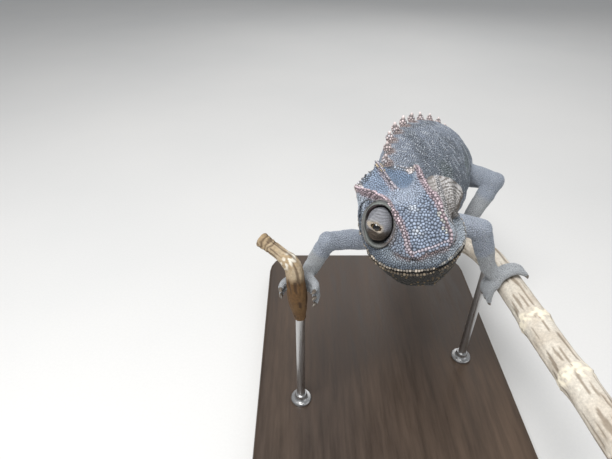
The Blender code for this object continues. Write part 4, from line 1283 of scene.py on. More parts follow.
def hide_effect():
    """The painted pigment, broken by fine grit, with the grit as a height."""
    tree, given, out = effect(
        "hide_pigment",
        [("Grit Scale", "Float", 2500.0), ("Grit", "Float", 0.3), ("Gain", "Float", 1.0)],
        [("Colour", "Color"), ("Height", "Float")],
    )
    place = node(tree, "TexCoord").outputs["Object"]
    pigment = node(tree, "Attribute", {"attribute_name": "pigment"}).outputs["Color"]
    grit = node(
        tree, "TexNoise", Vector=place, Scale=given["Grit Scale"], Detail=4.0, Roughness=0.6
    )
    low = node(tree, "Math", {"operation": "SUBTRACT"}, _0=1.0, _1=given["Grit"])
    shade = node(
        tree, "MapRange", Value=grit.outputs["Fac"], From_Min=0.3, From_Max=0.7,
        To_Min=low.outputs[0], To_Max=1.1,
    )
    gained = node(tree, "Math", {"operation": "MULTIPLY"}, _0=shade.outputs[0], _1=given["Gain"])
    toned = node(
        tree, "VectorMath", {"operation": "SCALE"}, Vector=pigment, Scale=gained.outputs[0]
    )
    tree.links.new(toned.outputs[0], out["Colour"])
    tree.links.new(grit.outputs["Fac"], out["Height"])
    return tree


HIDE = hide_effect()
# Painted shade: the bare skin shows between the scales at 0.30 of the markings' tone, as shade in
# the gaps.
bare_skin, tree, shader = finish("bare_skin", 0.62)
dress(tree, shader, HIDE, bump=0.5, depth=0.0001, gloss=(0.5, 0.72),
      Grit_Scale=3200.0, Grit=0.45, Gain=0.30)
skin_map = body_map(skin_points)
LIMB_GAP_SHADE_LIFT = 1.3  # the painted shade of the skin between the limbs' scales is lifted, so their grooves show less
gap_shade_lift = 1 + LIMB_GAP_SHADE_LIFT * skin_map["limb"] * (1 - skin_map["on_head"])
paint(skin, "pigment", markings(skin_points, skin_map) * gap_shade_lift[:, None])
skin.data.materials.clear()
skin.data.materials.append(bare_skin)

# ---------------------------------------------------------------- scales
# The coat: about forty-two thousand separate horny scales. Large domed beads on the snout and
# ridges, long narrow scales fanned over the casque, small grains on the lids and fine
# granules over body, limbs and tail, each shaped by the neighbours it meets.
CANDIDATES = 330000
SCALE_SIDES = 8
SCALE_GAP = 0.965  # share of the way to its neighbour that a scale fills
SCALE_ON_MAP = 0.0028  # width of a scale on the map, as a share of the map's


def surface_points(obj, count, seed):
    """Random points spread evenly over a mesh."""
    data = obj.data
    data.calc_loop_triangles()
    corners = np.empty(len(data.loop_triangles) * 3, np.int32)
    data.loop_triangles.foreach_get("vertices", corners)
    corners = corners.reshape(-1, 3)
    points, _ = points_of(obj)
    a, b, c = (points[corners[:, k]] for k in range(3))
    area = np.linalg.norm(np.cross(b - a, c - a), axis=1)
    draw = np.random.default_rng(seed)
    pick = np.searchsorted(np.cumsum(area) / area.sum(), draw.random(count))
    pick = np.minimum(pick, len(corners) - 1)
    u, v = draw.random((2, count))
    over = u + v > 1
    u, v = np.where(over, 1 - u, u), np.where(over, 1 - v, v)
    w = np.stack([1 - u - v, u, v], -1)[:, :, None]
    return (points[corners[pick]] * w).sum(1)


def spaced(points, spacing, fixed):
    """Indices of points kept so that none is nearer to another than the spacing there.
    The first fixed ones are kept whatever their spacing."""
    tree = tree_of(points)
    alive = np.ones(len(points), bool)
    kept = []
    for i in range(len(points)):
        if not alive[i]:
            continue
        kept.append(i)
        for _, j, _ in tree.find_range(points[i], spacing[i]):
            if j >= fixed:
                alive[j] = False
    return np.array(kept)


def grain_of(normals, where):
    """The way the scales point: back along the body, down the limbs and fanned on the casque."""
    head = where["head"]
    turn = np.array(HEAD.to_3x3())
    fan = np.stack([head[:, 0] + 3.0, 1.1 * head[:, 1], 0 * head[:, 0]], -1) @ turn.T
    back = TRUNK_AHEAD[where["station"]]
    lip = (head_zones(head)["upper_lip"] * where["on_head"] > 0.5)[:, None]
    fan = np.where(lip, turn[:, 2], fan)
    way = np.where((where["on_head"] > 0.5)[:, None], fan, back)
    way = way - normals * np.einsum("ij,ij->i", way, normals)[:, None]
    size = np.linalg.norm(way, axis=1)[:, None]
    spare = np.cross(normals, (0.3, 0.2, 0.93))
    way = np.where(size > 1e-6, way / np.maximum(size, 1e-6), spare)
    return way / np.linalg.norm(way, axis=1)[:, None]


def scale_sizes(points, where):
    """Spacing, dome height and length of the scale that would grow at each point, in mm."""
    head = where["head"]
    x, y, _ = head.T
    zone = head_zones(head)
    spacing = 0.52 + 0.12 * streaks(points, where)
    spacing = spacing - 0.03 * where["limb"] - 0.05 * where["foot"]
    spacing = spacing + 0.28 * crest_tips(points)
    face = np.full(len(points), 0.62)
    face += (0.50 - face) * zone["casque"]
    face += (0.54 - face) * zone["inside"] * (x < 3)
    face += (0.70 - face) * zone["snout"] * smooth_step(x, 1.5, 5.5)
    face += (0.44 - face) * zone["lid"] * (1 - zone["inside"])
    face += (0.46 - face) * zone["ridge"]
    face += (0.44 - face) * zone["upper_lip"]
    face += (0.50 - face) * zone["jaw"]
    spacing = np.where(where["on_head"] > 0.5, face, spacing)
    height = 0.30 * spacing
    raised = 0.26 + 0.16 * zone["snout"] + 0.1 * zone["ridge"] - 0.06 * zone["casque"]
    height = np.where(where["on_head"] > 0.5, raised * spacing, height)
    sharp = smooth_step(np.abs(y) - BROW_Y(x), -2.8, -1.2)
    fanned = zone["casque"] * (1 - zone["keel"]) * (1 - sharp) * smooth_step(x, -14.5, -12.0)
    long = np.maximum(0.8 * fanned, 0.5 * zone["upper_lip"])
    length = 1.0 + long * (where["on_head"] > 0.5)
    return spacing, height, length


SKIN_TREE = BVHTree.FromPolygons(
    [Vector(p) for p in skin_points], [tuple(f.vertices) for f in skin.data.polygons]
)


def on_skin(point):
    """The nearest point of the skin and the direction it faces."""
    at, facing, _, _ = SKIN_TREE.find_nearest(Vector(point))
    return at, facing


def bead_row(points, step, size, tone, jitter=0.12, spread=(0.8, 1.25)):
    """A row of large beads laid on the skin along a line: place, facing, size and colour."""
    path = smooth_path(points, 160)
    run = np.r_[0, np.cumsum(np.linalg.norm(np.diff(path, axis=0), axis=1))]
    draw = np.random.default_rng(int(1000 * abs(path.sum())) % 99991)
    beads = []
    for s in np.arange(0.0, run[-1], step):
        at = [float(np.interp(s, run, path[:, k])) for k in range(3)]
        at, facing = on_skin(at)
        scaled = size * draw.uniform(1 - jitter, 1 + jitter)
        beads.append((at, facing, scaled, np.array(tone) * draw.uniform(*spread)))
    return beads


def head_line(xs, y_of, z_of):
    """A line along the head from its height and offset at each place."""
    return [tuple(head_point(x, float(y_of(x)), float(z_of(x)))) for x in xs]


def mouth_line(x, lift):
    """The height of the closed mouth along the head, plus a lift."""
    return -MOUTH_DROP - (x + MOUTH_CORNER) * MOUTH_SLOPE + lift


def special_beads():
    """Ridge, lip, corner and crest beads, which stand in rows of their own."""
    beads = []
    for sign in (1, -1):
        xs = np.linspace(-11.8, 12.6, 30)
        beads += bead_row(
            head_line(xs, lambda x: sign * BROW_Y(x), lambda x: BROW_Z(x) + 0.9),
            (0.76, 0.98)[sign > 0], (0.62, 0.72)[sign > 0],
            ((0.58, 0.46, 0.49), (0.46, 0.37, 0.40))[sign > 0], jitter=0.18,
        )
        beads += bead_row(
            [tuple(head_point(x, sign * y, z)) for x, y, z in
             ((-17.0, 0.7, 8.4), (-15.7, 3.2, 7.5), (-14.0, 5.6, 7.0), (-12.4, 7.6, 6.8))],
            0.72, 0.66, (0.50, 0.49, 0.52),
        )
        xs = SNOUT_TIP - (SNOUT_TIP + 7.6) * np.linspace(0.03, 1.0, 48) ** 2
        lift = (0.62, 1.05)[sign > 0]
        beads += bead_row(
            head_line(xs, lambda x: sign * lip_y(x), lambda x: mouth_line(x, lift)),
            0.66, 0.56, ((0.40, 0.35, 0.29), (0.31, 0.30, 0.28))[sign > 0], jitter=0.42,
            spread=(0.35, 1.45),
        )
        beads += bead_row(
            head_line(xs, lambda x: sign * lip_y(x) * 0.99, lambda x: mouth_line(x, -0.62)),
            0.74, 0.54, (0.16, 0.125, 0.085), jitter=0.42, spread=(0.25, 1.6),
        )
        draw = np.random.default_rng(7 + sign)
        for _ in range(9):
            offset = draw.normal(size=3) * (1.1, 1.0, 0.8)
            spot = (-12.1 + offset[0], sign * (7.7 + offset[1] * 0.6), 6.2 + offset[2])
            at, facing = on_skin(head_point(*spot))
            size = draw.uniform(0.6, 1.0)
            beads.append((at, facing, size, np.array((0.86, 0.80, 0.77)) * draw.uniform(0.75, 1.1)))
    beads += bead_row(
        [
            tuple(head_point(12.2 - 0.02 * y * y, y, float(CROWN_Z(12.2)) + 0.1))
            for y in np.linspace(-4.4, 4.4, 12)
        ],
        0.78, 0.64, (0.40, 0.36, 0.40), jitter=0.2,
    )
    beads += bead_row(
        head_line(np.linspace(-17.0, -5.0, 20), lambda x: 0.0, lambda x: CROWN_Z(x) + 0.9),
        0.70, 0.60, (0.44, 0.40, 0.43), jitter=0.2,
    )
    for sign in (1, -1):
        beads += bead_row(
            head_line(
                np.linspace(-16.6, -12.4, 10), lambda x: sign * 0.95, lambda x: CROWN_Z(x) + 0.6
            ),
            0.66, 0.52, (0.56, 0.45, 0.29), jitter=0.25,
        )
    at, facing = on_skin(head_point(-4.25, 6.5, 8.6))
    beads.append((at, facing, 1.1, np.array((0.70, 0.60, 0.62))))
    draw = np.random.default_rng(17)
    for _ in range(8):
        offset = draw.normal(size=3)
        spot = (-16.9 + 0.5 * offset[0], 0.9 * offset[1], 8.2 + 0.4 * offset[2])
        at, facing = on_skin(head_point(*spot))
        size = draw.uniform(0.7, 1.0)
        beads.append((at, facing, size, np.array((0.70, 0.60, 0.47)) * draw.uniform(0.8, 1.1)))
    for at, size in CREST:
        for lean, wide in (
            ((-0.2, 0.0, 1.9), 0.78), ((-0.6, 0.5, 1.3), 0.5), ((0.2, -0.6, 1.3), 0.5),
        ):
            spot, facing = on_skin(at + (np.array(lean) + draw.normal(size=3) * 0.08) * size)
            beads.append((
                spot, facing, size * wide * draw.uniform(0.9, 1.1),
                np.array((0.74, 0.63, 0.61)) * draw.uniform(0.85, 1.15),
            ))
    for _ in range(26):
        along, across = draw.uniform(8.0, 12.4), draw.uniform(3.6, 5.6)
        at, facing = on_skin(head_point(along, across, float(CROWN_Z(along)) + 0.8))
        size = draw.uniform(0.42, 0.68)
        beads.append((at, facing, size, np.array((0.60, 0.60, 0.56)) * draw.uniform(0.6, 1.1)))
    return beads


def boundary(points, normals, grain, length, sizes, sides):
    """How far each scale may reach towards each of its sides before it meets a neighbour."""
    near = 14
    tree = tree_of(points)
    others = np.array([[j for _, j, _ in tree.find_n(p, near)] for p in points])[:, 1:]
    across = np.cross(normals, grain)
    off = points[others] - points[:, None]
    a = np.einsum("ijk,ik->ij", off, grain) / length[:, None]
    b = np.einsum("ijk,ik->ij", off, across)
    share = sizes[:, None] / (sizes[:, None] + sizes[others])
    turns = np.linspace(0, 2 * math.pi, sides, endpoint=False)
    reach = np.full((len(points), sides), np.inf)
    for k, turn in enumerate(turns):
        towards = a * math.cos(turn) + b * math.sin(turn)
        limit = (a * a + b * b) * share / np.maximum(towards, 1e-6)
        limit = np.where(towards > 1e-6, limit, np.inf)
        reach[:, k] = np.minimum(limit.min(1), 0.72 * sizes)
    return reach, across


def scale_mesh(
    name, points, normals, grain, across, length, sizes, heights, colours, uv, reach, rings,
    material, calm=0.0,
):
    """One mesh of many domed scales. rings gives each ring's share of reach, of height and
    of its tone, which paints each scale dark at its rim as shade between scales and light at its
    top as a highlight; calm is how far a scale's rings keep to one tone, softening that painted
    shade and highlight."""
    sides = reach.shape[1]
    turns = np.linspace(0, 2 * math.pi, sides, endpoint=False)
    count = len(points)
    layers, places = [], []
    for share, lift, _ in rings:
        r = reach * SCALE_GAP * share
        a = (r * np.cos(turns))[:, :, None] * (grain * length[:, None])[:, None]
        b = (r * np.sin(turns))[:, :, None] * across[:, None]
        rise = heights * lift if lift >= 0 else np.full(count, lift)
        layers.append(points[:, None] + a + b + (normals * rise[:, None])[:, None])
        places.append(np.stack([r * np.cos(turns), r * np.sin(turns)], -1) / sizes[:, None, None])
    layers.append((points + normals * heights[:, None])[:, None])
    places.append(np.zeros((count, 1, 2)))
    verts = np.concatenate(layers, 1)
    local = np.concatenate(places, 1)
    per = verts.shape[1]
    ring = np.arange(sides)
    faces = []
    for k in range(len(rings) - 1):
        low, high = ring + k * sides, ring + (k + 1) * sides
        faces.append(np.stack([low, np.roll(low, -1), np.roll(high, -1)], -1))
        faces.append(np.stack([low, np.roll(high, -1), high], -1))
    top = ring + (len(rings) - 1) * sides
    faces.append(np.stack([top, np.roll(top, -1), np.full(sides, per - 1)], -1))
    one = np.concatenate(faces)
    triangles = (one[None] + (np.arange(count) * per)[:, None, None]).reshape(-1, 3)
    made = solid(name, verts.reshape(-1, 3), triangles)
    # Painted shade and highlight: each ring's tone factor darkens the scale's rim, as shade between
    # scales, and the apex's 1.25 lightens its top, as a highlight.
    shade = np.repeat([r[2] for r in rings] + [1.25], [sides] * len(rings) + [1])
    shade = shade ** (np.ones(count) - calm)[:, None]
    tones = (colours[:, None] * shade[:, :, None]).reshape(-1, 3)
    paint(made, "pigment", tones)
    layer = made.data.uv_layers.new(name="OFBake")
    spot = (uv[:, None] + local * SCALE_ON_MAP).reshape(-1, 2)
    layer.data.foreach_set("uv", spot[triangles.ravel()].astype(np.float32).ravel())
    made.data.materials.append(material)
    return made


def unwrapped_skin():
    """A light copy of the skin, unwrapped, to give each scale its place on the map."""
    copy = bpy.data.objects.new("unwrap", skin.data.copy())
    bpy.context.collection.objects.link(copy)
    thin = copy.modifiers.new("thin", "DECIMATE")
    faces_left = 9000
    thin.ratio = faces_left / len(copy.data.polygons) / 2
    graph = bpy.context.evaluated_depsgraph_get()
    data = bpy.data.meshes.new_from_object(copy.evaluated_get(graph), depsgraph=graph)
    copy.modifiers.clear()
    copy.data = data
    bpy.context.view_layer.objects.active = copy
    copy.select_set(True)
    bpy.ops.object.mode_set(mode="EDIT")
    bpy.ops.mesh.select_all(action="SELECT")
    bpy.ops.uv.smart_project(angle_limit=math.radians(66), island_margin=0.004)
    bpy.ops.object.mode_set(mode="OBJECT")
    data.calc_loop_triangles()
    points = np.array([v.co for v in data.vertices]) / MM
    corners = np.array([t.vertices for t in data.loop_triangles])
    loops = np.array([t.loops for t in data.loop_triangles])
    uv = np.array([c.uv for c in data.uv_layers.active.data])[loops]
    bpy.data.objects.remove(copy, do_unlink=True)
    return points, corners, uv


def map_places(points, unwrap):
    """Each point's place on the unwrap, through the nearest triangle."""
    verts, corners, uv = unwrap
    tree = BVHTree.FromPolygons([Vector(v) for v in verts], [tuple(c) for c in corners])
    hits = [tree.find_nearest(Vector(p)) for p in points]
    index = np.array([h[2] for h in hits])
    at = np.array([h[0] for h in hits])
    a, b, c = (verts[corners[index, k]] for k in range(3))
    whole = np.cross(b - a, c - a)
    area = np.einsum("ij,ij->i", whole, whole)
    wb = np.einsum("ij,ij->i", np.cross(at - a, c - a), whole) / area
    wc = np.einsum("ij,ij->i", np.cross(b - a, at - a), whole) / area
    w = np.stack([1 - wb - wc, wb, wc], -1)
    return (uv[index] * w[:, :, None]).sum(1)


beads = special_beads()
bead_at = np.array([b[0] for b in beads])
bead_facing = np.array([b[1] for b in beads])
bead_size = np.array([b[2] for b in beads])
bead_tone = np.array([b[3] for b in beads])
bead_x, bead_y, bead_z = in_head_frame(bead_at).T
worn_front = smooth_step(bead_x, 6.5, 9.5) * (bead_y < 2) * (bead_z > 1.5)
bead_tone = tinted(bead_tone, (0.34, 0.31, 0.34), 0.65 * worn_front)
loose_at = surface_points(skin, CANDIDATES, 3)
order = spaced(bead_at, bead_size * 0.8, 0)
bead_at, bead_facing, bead_size, bead_tone = (
    v[order] for v in (bead_at, bead_facing, bead_size, bead_tone)
)
loose_map = body_map(loose_at)
loose_size, _, _ = scale_sizes(loose_at, loose_map)
keep = spaced(
    np.vstack([bead_at, loose_at]), np.r_[bead_size * 0.92, loose_size * 0.82], len(bead_at)
)
seed_at = loose_at[keep[keep >= len(bead_at)] - len(bead_at)]
for _ in range(2):  # each scale moves to the middle of the skin that it holds
    tree = tree_of(np.vstack([bead_at, seed_at]))
    owner = np.array([tree.find(p)[1] for p in loose_at])
    total = np.bincount(owner, minlength=len(bead_at) + len(seed_at))
    mean = np.stack([
        np.bincount(owner, loose_at[:, k], minlength=len(total)) / np.maximum(total, 1)
        for k in range(3)
    ], -1)[len(bead_at):]
    empty = total[len(bead_at):] == 0
    mean[empty] = seed_at[empty]
    found = [on_skin(p) for p in mean]
    seed_at = np.array([f[0] for f in found])
    seed_facing = np.array([f[1] for f in found])
seed_map = body_map(seed_at)
seed_size, seed_height, seed_length = scale_sizes(seed_at, seed_map)
draw = np.random.default_rng(12)
seed_tone = markings(seed_at, seed_map)
seed_zone = head_zones(seed_map["head"])
lively = draw.normal(1.0, 0.13 - 0.07 * seed_map["limb"] + 0.06 * seed_zone["snout"])
pale = streaks(seed_at, seed_map) * (1 - seed_map["on_head"]) * (1 - 0.8 * seed_map["limb"])
seed_tone = tinted(seed_tone * lively[:, None], (0.46, 0.49, 0.53), 0.55 * pale)
fleck = (draw.random(len(seed_at)) < 0.03) * (1 - seed_map["on_head"])
seed_tone = tinted(seed_tone, (0.38, 0.39, 0.40), 0.45 * fleck)
for spot in ((4.25, 0.0, 7.2), (9.5, -1.75, 4.5)):  # two painted highlights: whitish glint patches on the snout
    glint_share = hump(np.linalg.norm(seed_map["head"] - spot, axis=1), 0, 1.1)
    glint_share = 0.75 * glint_share * (draw.random(len(seed_at)) < 0.8)
    seed_tone = tinted(seed_tone, (0.66, 0.69, 0.72), glint_share)
jaw = seed_zone["jaw"] * seed_map["on_head"]
jaw = jaw * smooth_step(seed_map["head"][:, 0], -9.0, -2.0)
gold = (draw.random(len(seed_at)) < 0.12 + 0.10 * (seed_map["head"][:, 1] > 0)) * jaw
seed_tone = tinted(seed_tone, (0.21, 0.14, 0.06), 0.7 * gold)

all_at = np.vstack([bead_at, seed_at])
all_facing = np.vstack([bead_facing, seed_facing])
all_map = body_map(all_at)
all_size = np.r_[bead_size, seed_size]
bead_rise = 0.42 + 0.30 * crest_share(bead_at)
all_height = np.r_[bead_size * bead_rise, seed_height]
all_length = np.r_[np.ones(len(bead_at)), seed_length]
all_tone = np.vstack([bead_tone, seed_tone])
all_grain = grain_of(all_facing, all_map)
all_uv = map_places(all_at, unwrapped_skin())

scale_horn, tree, shader = finish("scale_horn", 0.5)
dress(tree, shader, HIDE, bump=0.25, depth=0.00006, gloss=(0.40, 0.62),
      Grit_Scale=4200.0, Grit=0.22, Gain=1.0)
# Rings: share of reach, share of height and tone factor; the low factor at the rim is painted shade
# between scales, the high one near the top a painted highlight.
BEAD_RINGS = ((1.0, -0.12, 0.26), (0.93, 0.35, 0.66), (0.60, 0.84, 1.08))
GRAIN_RINGS = ((1.0, -0.12, 0.34), (0.78, 0.62, 0.95))
# On the limbs the rings' painted shade and highlight are mostly evened out.
all_calm = 0.75 * all_map["limb"] * (1 - all_map["on_head"])
head_part = all_map["on_head"] > 0.5
low_head = head_part & (mouth_height(all_map["head"]) < 0)
tail_part = ~head_part & (all_map["tail"] > 0.5)
limb_part = ~head_part & ~tail_part & (all_map["limb"] > 0.5)
trunk_part = ~head_part & ~tail_part & ~limb_part
left = all_map["across"] * np.sign(TRUNK_SIDE[0][0]) > 0
rear = all_at[:, 1] > 12
REGIONS = {
    "scales_crown": (head_part & ~low_head & (all_map["head"][:, 2] > 1.5), BEAD_RINGS),
    "scales_cheeks": (head_part & ~low_head & (all_map["head"][:, 2] <= 1.5), BEAD_RINGS),
    "scales_jaw": (low_head, BEAD_RINGS),
    "scales_left_shoulder": (trunk_part & left & ~rear, GRAIN_RINGS),
    "scales_left_flank": (trunk_part & left & rear, GRAIN_RINGS),
    "scales_right_shoulder": (trunk_part & ~left & ~rear, GRAIN_RINGS),
    "scales_right_flank": (trunk_part & ~left & rear, GRAIN_RINGS),
    "scales_forelimbs": (limb_part & (all_at[:, 1] < 4), GRAIN_RINGS),
    "scales_hindlimbs": (limb_part & (all_at[:, 1] >= 4), GRAIN_RINGS),
    "scales_tail": (tail_part, GRAIN_RINGS),
}
all_reach, all_across = boundary(
    all_at, all_facing, all_grain, all_length, all_size, SCALE_SIDES
)
for name, (part, rings) in REGIONS.items():
    laid = scale_mesh(
        name, all_at[part], all_facing[part], all_grain[part], all_across[part],
        all_length[part], all_size[part], all_height[part], all_tone[part], all_uv[part],
        all_reach[part], rings, scale_horn, all_calm[part],
    )
    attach(laid, "root")

# ---------------------------------------------------------------- eye turrets
# Each eye looks out of a cone of fused lids that telescopes in thick folds round the
# socket. The folds are skin over muscle, clad in rows of tiny grains, grey on their
# crests and dark brown in between, with a beige lip round the small opening; the grooves between
# the folds are painted near-black as shade.
TURRET_ROWS = (  # level radius, upright radius, height from the lid's tip, level and upright shift
    (0.0, 0.0, -2.95, 0.5, -0.2), (1.0, 0.95, -2.8, 0.5, -0.2), (1.75, 1.70, -2.1, 0.5, -0.2),
    (1.90, 1.85, -1.2, 0.5, -0.2), (1.35, 1.15, -0.50, 0.55, -0.25),
    (0.98, 0.84, -0.22, 0.58, -0.25), (1.10, 0.96, 0.06, 0.58, -0.25),
    (1.40, 1.22, 0.16, 0.60, -0.25), (1.72, 1.60, -0.02, 0.62, -0.2),
    (2.02, 2.10, -0.32, 0.68, -0.1), (2.35, 2.70, -0.70, 0.78, 0.0),
    (2.62, 3.30, -1.15, 0.86, 0.0), (2.80, 3.72, -1.75, 0.88, 0.0),
    (2.86, 3.92, -2.40, 0.90, 0.0), (2.78, 3.88, -3.10, 0.95, -0.05),
    (2.92, 4.10, -3.45, 1.0, -0.1), (3.14, 4.50, -3.05, 1.1, -0.2),
    (3.28, 4.75, -2.50, 1.15, -0.3), (3.50, 5.05, -2.36, 1.2, -0.4),
    (3.72, 5.35, -2.72, 1.25, -0.45), (3.74, 5.42, -3.25, 1.27, -0.5),
    (3.74, 5.42, -3.60, 1.27, -0.5), (3.92, 5.65, -3.75, 1.27, -0.5),
    (4.22, 5.95, -3.85, 1.2, -0.5), (4.36, 6.05, -4.45, 1.1, -0.5),
    (4.20, 5.90, -5.30, 0.9, -0.4), (3.40, 4.80, -6.50, 0.5, -0.2), (2.0, 3.00, -7.2, 0.2, 0.0),
    (0.0, 0.0, -7.5, 0.0, 0.0),
)
FIRST_GRAIN_ROW, LAST_GRAIN_ROW = 6, 24
TURRET_BASE = (0.30, 0.90, 0.30)  # the way the left turret's base faces in the head frame
MIDDLE_FOLD, OUTER_FOLD, LIP_FOLD = 17.3, 18.4, 10.6  # grooves between folds, as row numbers
LID_GRAIN = 0.43


def sector(turn, middle, sharpness):
    """A share that is 1 at one place round the eye and falls off to either side."""
    return np.maximum(np.cos(turn - middle), 0) ** sharpness


def turret_surface(side, steps, sides):
    """A grid of points over the turret, with the row number of each ring and its turns."""
    centre, ahead, level, upright = eye_axes(side)
    right = side == "right"
    wide = 1.0 if right else 1.24
    rows = []
    for k, (across, tall, height, sideways, upwards) in enumerate(TURRET_ROWS):
        stretch = 1 + (wide - 1) * smooth_step(k, 8, 12)
        if not right and 8 < k < 25:
            height = -0.32 - 0.036 * (k - 9) ** 1.75
        rows.append((across * stretch, tall, height, k, sideways * right, upwards * right))
    path = smooth_path(rows, steps)
    run = np.r_[0, np.cumsum(np.linalg.norm(np.diff(path[:, 1:3], axis=0), axis=1))]
    turn = np.linspace(0, 2 * math.pi, sides, endpoint=False)
    row = path[:, 3:4]
    ripple = 0.03 * right * np.cos(2 * math.pi * run / 0.62)[:, None] * smooth_step(row, 14, 16)
    opening = smooth_step(row, 3, 5) * smooth_step(row, 11, 8)
    almond = opening * (0.24 * np.cos(2 * (turn + 0.5)) + 0.16 * sector(turn, 2.6, 4))
    swell = 0.55 * right * sector(turn, 2.2, 2)
    swell = swell * smooth_step(row, 15, 17) * smooth_step(row, 24, 22)
    uneven = 0.07 * np.sin(3 * turn + 0.7 * row) * smooth_step(row, 6, 9)
    uneven = uneven + 0.05 * np.sin(7 * turn + 1.3 * row)
    relief = (ripple + uneven) * smooth_step(row, 2, 6)
    level_reach = path[:, 0:1] * (1 + almond) + swell + relief
    tall_reach = path[:, 1:2] * (1 + almond) + swell + relief
    a, b = level_reach * np.cos(turn), tall_reach * np.sin(turn)
    lines = np.sin(2 * math.pi * (b + 0.12 * np.sin(3 * turn)) / 0.50)
    if not right:
        lines = np.sin(2 * math.pi * (0.93 * b + 0.36 * a) / 0.62)
    lift = 1.6 * right * np.maximum(sector(turn, 0.2, 1), 0.7 * sector(turn, 1.3, 1))
    lined = smooth_step(row, 8.5, 10) * smooth_step(row, (23, 14.5)[right], (20, 13)[right])
    height = path[:, 2:3] + lift * smooth_step(row, 15, 17) + 0.05 * lines * lined
    height = height - 0.30 * hump(row, MIDDLE_FOLD, 0.4) * sector(turn, 2.3, 3)
    height = height - 0.35 * hump(row, OUTER_FOLD, 0.4) * sector(turn, -0.5, 3)
    height = height - 0.22 * hump(row, LIP_FOLD, 0.45) * sector(turn, -1.6, 2)
    if not right:  # the base faces out of its socket, and only the tip swings with the gaze
        base = np.array((HEAD.to_3x3() @ Vector(TURRET_BASE)).normalized())
        share = smooth_step(row, 9, 19)
        ahead = ahead + (base - ahead) * share
        ahead = ahead / np.linalg.norm(ahead, axis=1)[:, None]
        level = np.cross((0, 0, 1), ahead)
        level = level / np.linalg.norm(level, axis=1)[:, None]
        upright = np.cross(ahead, level)
        ahead, level, upright = (v[:, None] for v in (ahead, level, upright))
    points = (
        centre
        + ahead * (EYE_RADII[side][0] + height)[:, :, None]
        + level * (a + path[:, 4:5])[:, :, None]
        + upright * (b + path[:, 5:6])[:, :, None]
    )
    return points, path[:, 3], turn


def lid_colour(side, row, turn):
    """Cream lip, brown wrinkles under it, grey fold crests and near-black grooves, the grooves
    being painted shade.
    """
    numbers = np.arange(len(TURRET_ROWS))
    a = np.interp(row, numbers, [r[0] for r in TURRET_ROWS]) * np.cos(turn)
    b = np.interp(row, numbers, [r[1] for r in TURRET_ROWS]) * np.sin(turn)
    low = smooth_step(np.sin(turn), 0.0, -0.8)
    if side == "right":
        colour = np.tile((0.36, 0.365, 0.395), (len(row), 1))
        lines = 0.5 + 0.5 * np.sin(2 * math.pi * (b + 0.12 * np.sin(3 * turn)) / 0.50)
        colour = tinted(colour, (0.21, 0.21, 0.23), 0.75 * lines * (row < 14.5))
        colour = tinted(colour, (0.130, 0.088, 0.050), 0.85 * low * smooth_step(row, 14.5, 13.0))
        colour = tinted(colour, (0.060, 0.036, 0.018), 0.8 * low * lines * (row < 14))
        folds = smooth_step(row, 14.5, 15.5) * smooth_step(row, 21, 20)
        colour = tinted(colour, (0.235, 0.250, 0.235), folds)
        rosy = folds * sector(turn, 2.3, 4) * smooth_step(row, 18, 17)
        colour = tinted(colour, (0.340, 0.250, 0.260), rosy)
        colour = tinted(colour, (0.200, 0.140, 0.130), 0.7 * folds * sector(turn, -0.5, 3))
        rim = smooth_step(row, 21, 22)
        colour = tinted(colour, (0.290, 0.280, 0.270), rim)
        colour = tinted(colour, (0.430, 0.340, 0.350), 0.6 * rim * sector(turn, 1.1, 4))
    else:
        colour = np.tile((0.50, 0.485, 0.475), (len(row), 1))
        lines = 0.5 + 0.5 * np.sin(2 * math.pi * (0.93 * b + 0.36 * a) / 0.62)
        colour = tinted(colour, (0.13, 0.115, 0.10), 0.95 * smooth_step(lines, 0.45, 1.0))
        colour = tinted(colour, (0.095, 0.072, 0.055), 0.9 * smooth_step(row, 12.5, 10.5))
        colour = tinted(colour, (0.260, 0.225, 0.190), 0.6 * lines * smooth_step(row, 12, 10))
        # Painted shade: the left turret's lower side is painted dark brown, as shade under it.
        underside_shade = hump(row, 13.5, 4.0) * sector(turn, -2.2, 2)
        colour = tinted(colour, (0.120, 0.092, 0.070), 0.9 * underside_shade)
        colour = tinted(colour, (0.300, 0.270, 0.250), 0.5 * smooth_step(row, 17, 23))
    # Painted shade: the grooves between the folds are painted near-black, as shade in the recesses.
    groove_shade = np.zeros_like(row)
    for at, width, share in (
        (14.9, 0.95, 1.0), (21.3, 0.75, 0.55 + 0.45 * sector(turn, 2.4, 1)),
        (MIDDLE_FOLD, 0.4, sector(turn, 2.3, 3)), (OUTER_FOLD, 0.45, sector(turn, -0.5, 3)),
        (25.8, 1.0, 1.0),
    ):
        groove_shade = np.maximum(groove_shade, np.exp(-np.abs((row - at) / width) ** 3) * share)
    if side == "left":
        groove_shade = 0.5 * groove_shade * (row < 16)
    colour = tinted(colour, (0.010, 0.009, 0.008), 0.97 * groove_shade)
    end = 6.5 + 0.5 * np.sin(turn) + 1.1 * sector(turn, 2.75, 14) + 0.25 * np.sin(5 * turn)
    if side == "left":
        end = 6.4 + 2.6 * sector(turn, -1.4, 3)
    lip = smooth_step(row, end + 0.35, end - 0.35)
    beside_lip = smooth_step(row, end + 1.6, end) * (row > 4.6)
    colour = tinted(colour, (0.42, 0.37, 0.31), 0.6 * beside_lip)
    return tinted(colour, (0.64, 0.55, 0.44), 0.92 * lip * smooth_step(row, 4.6, 5.4))


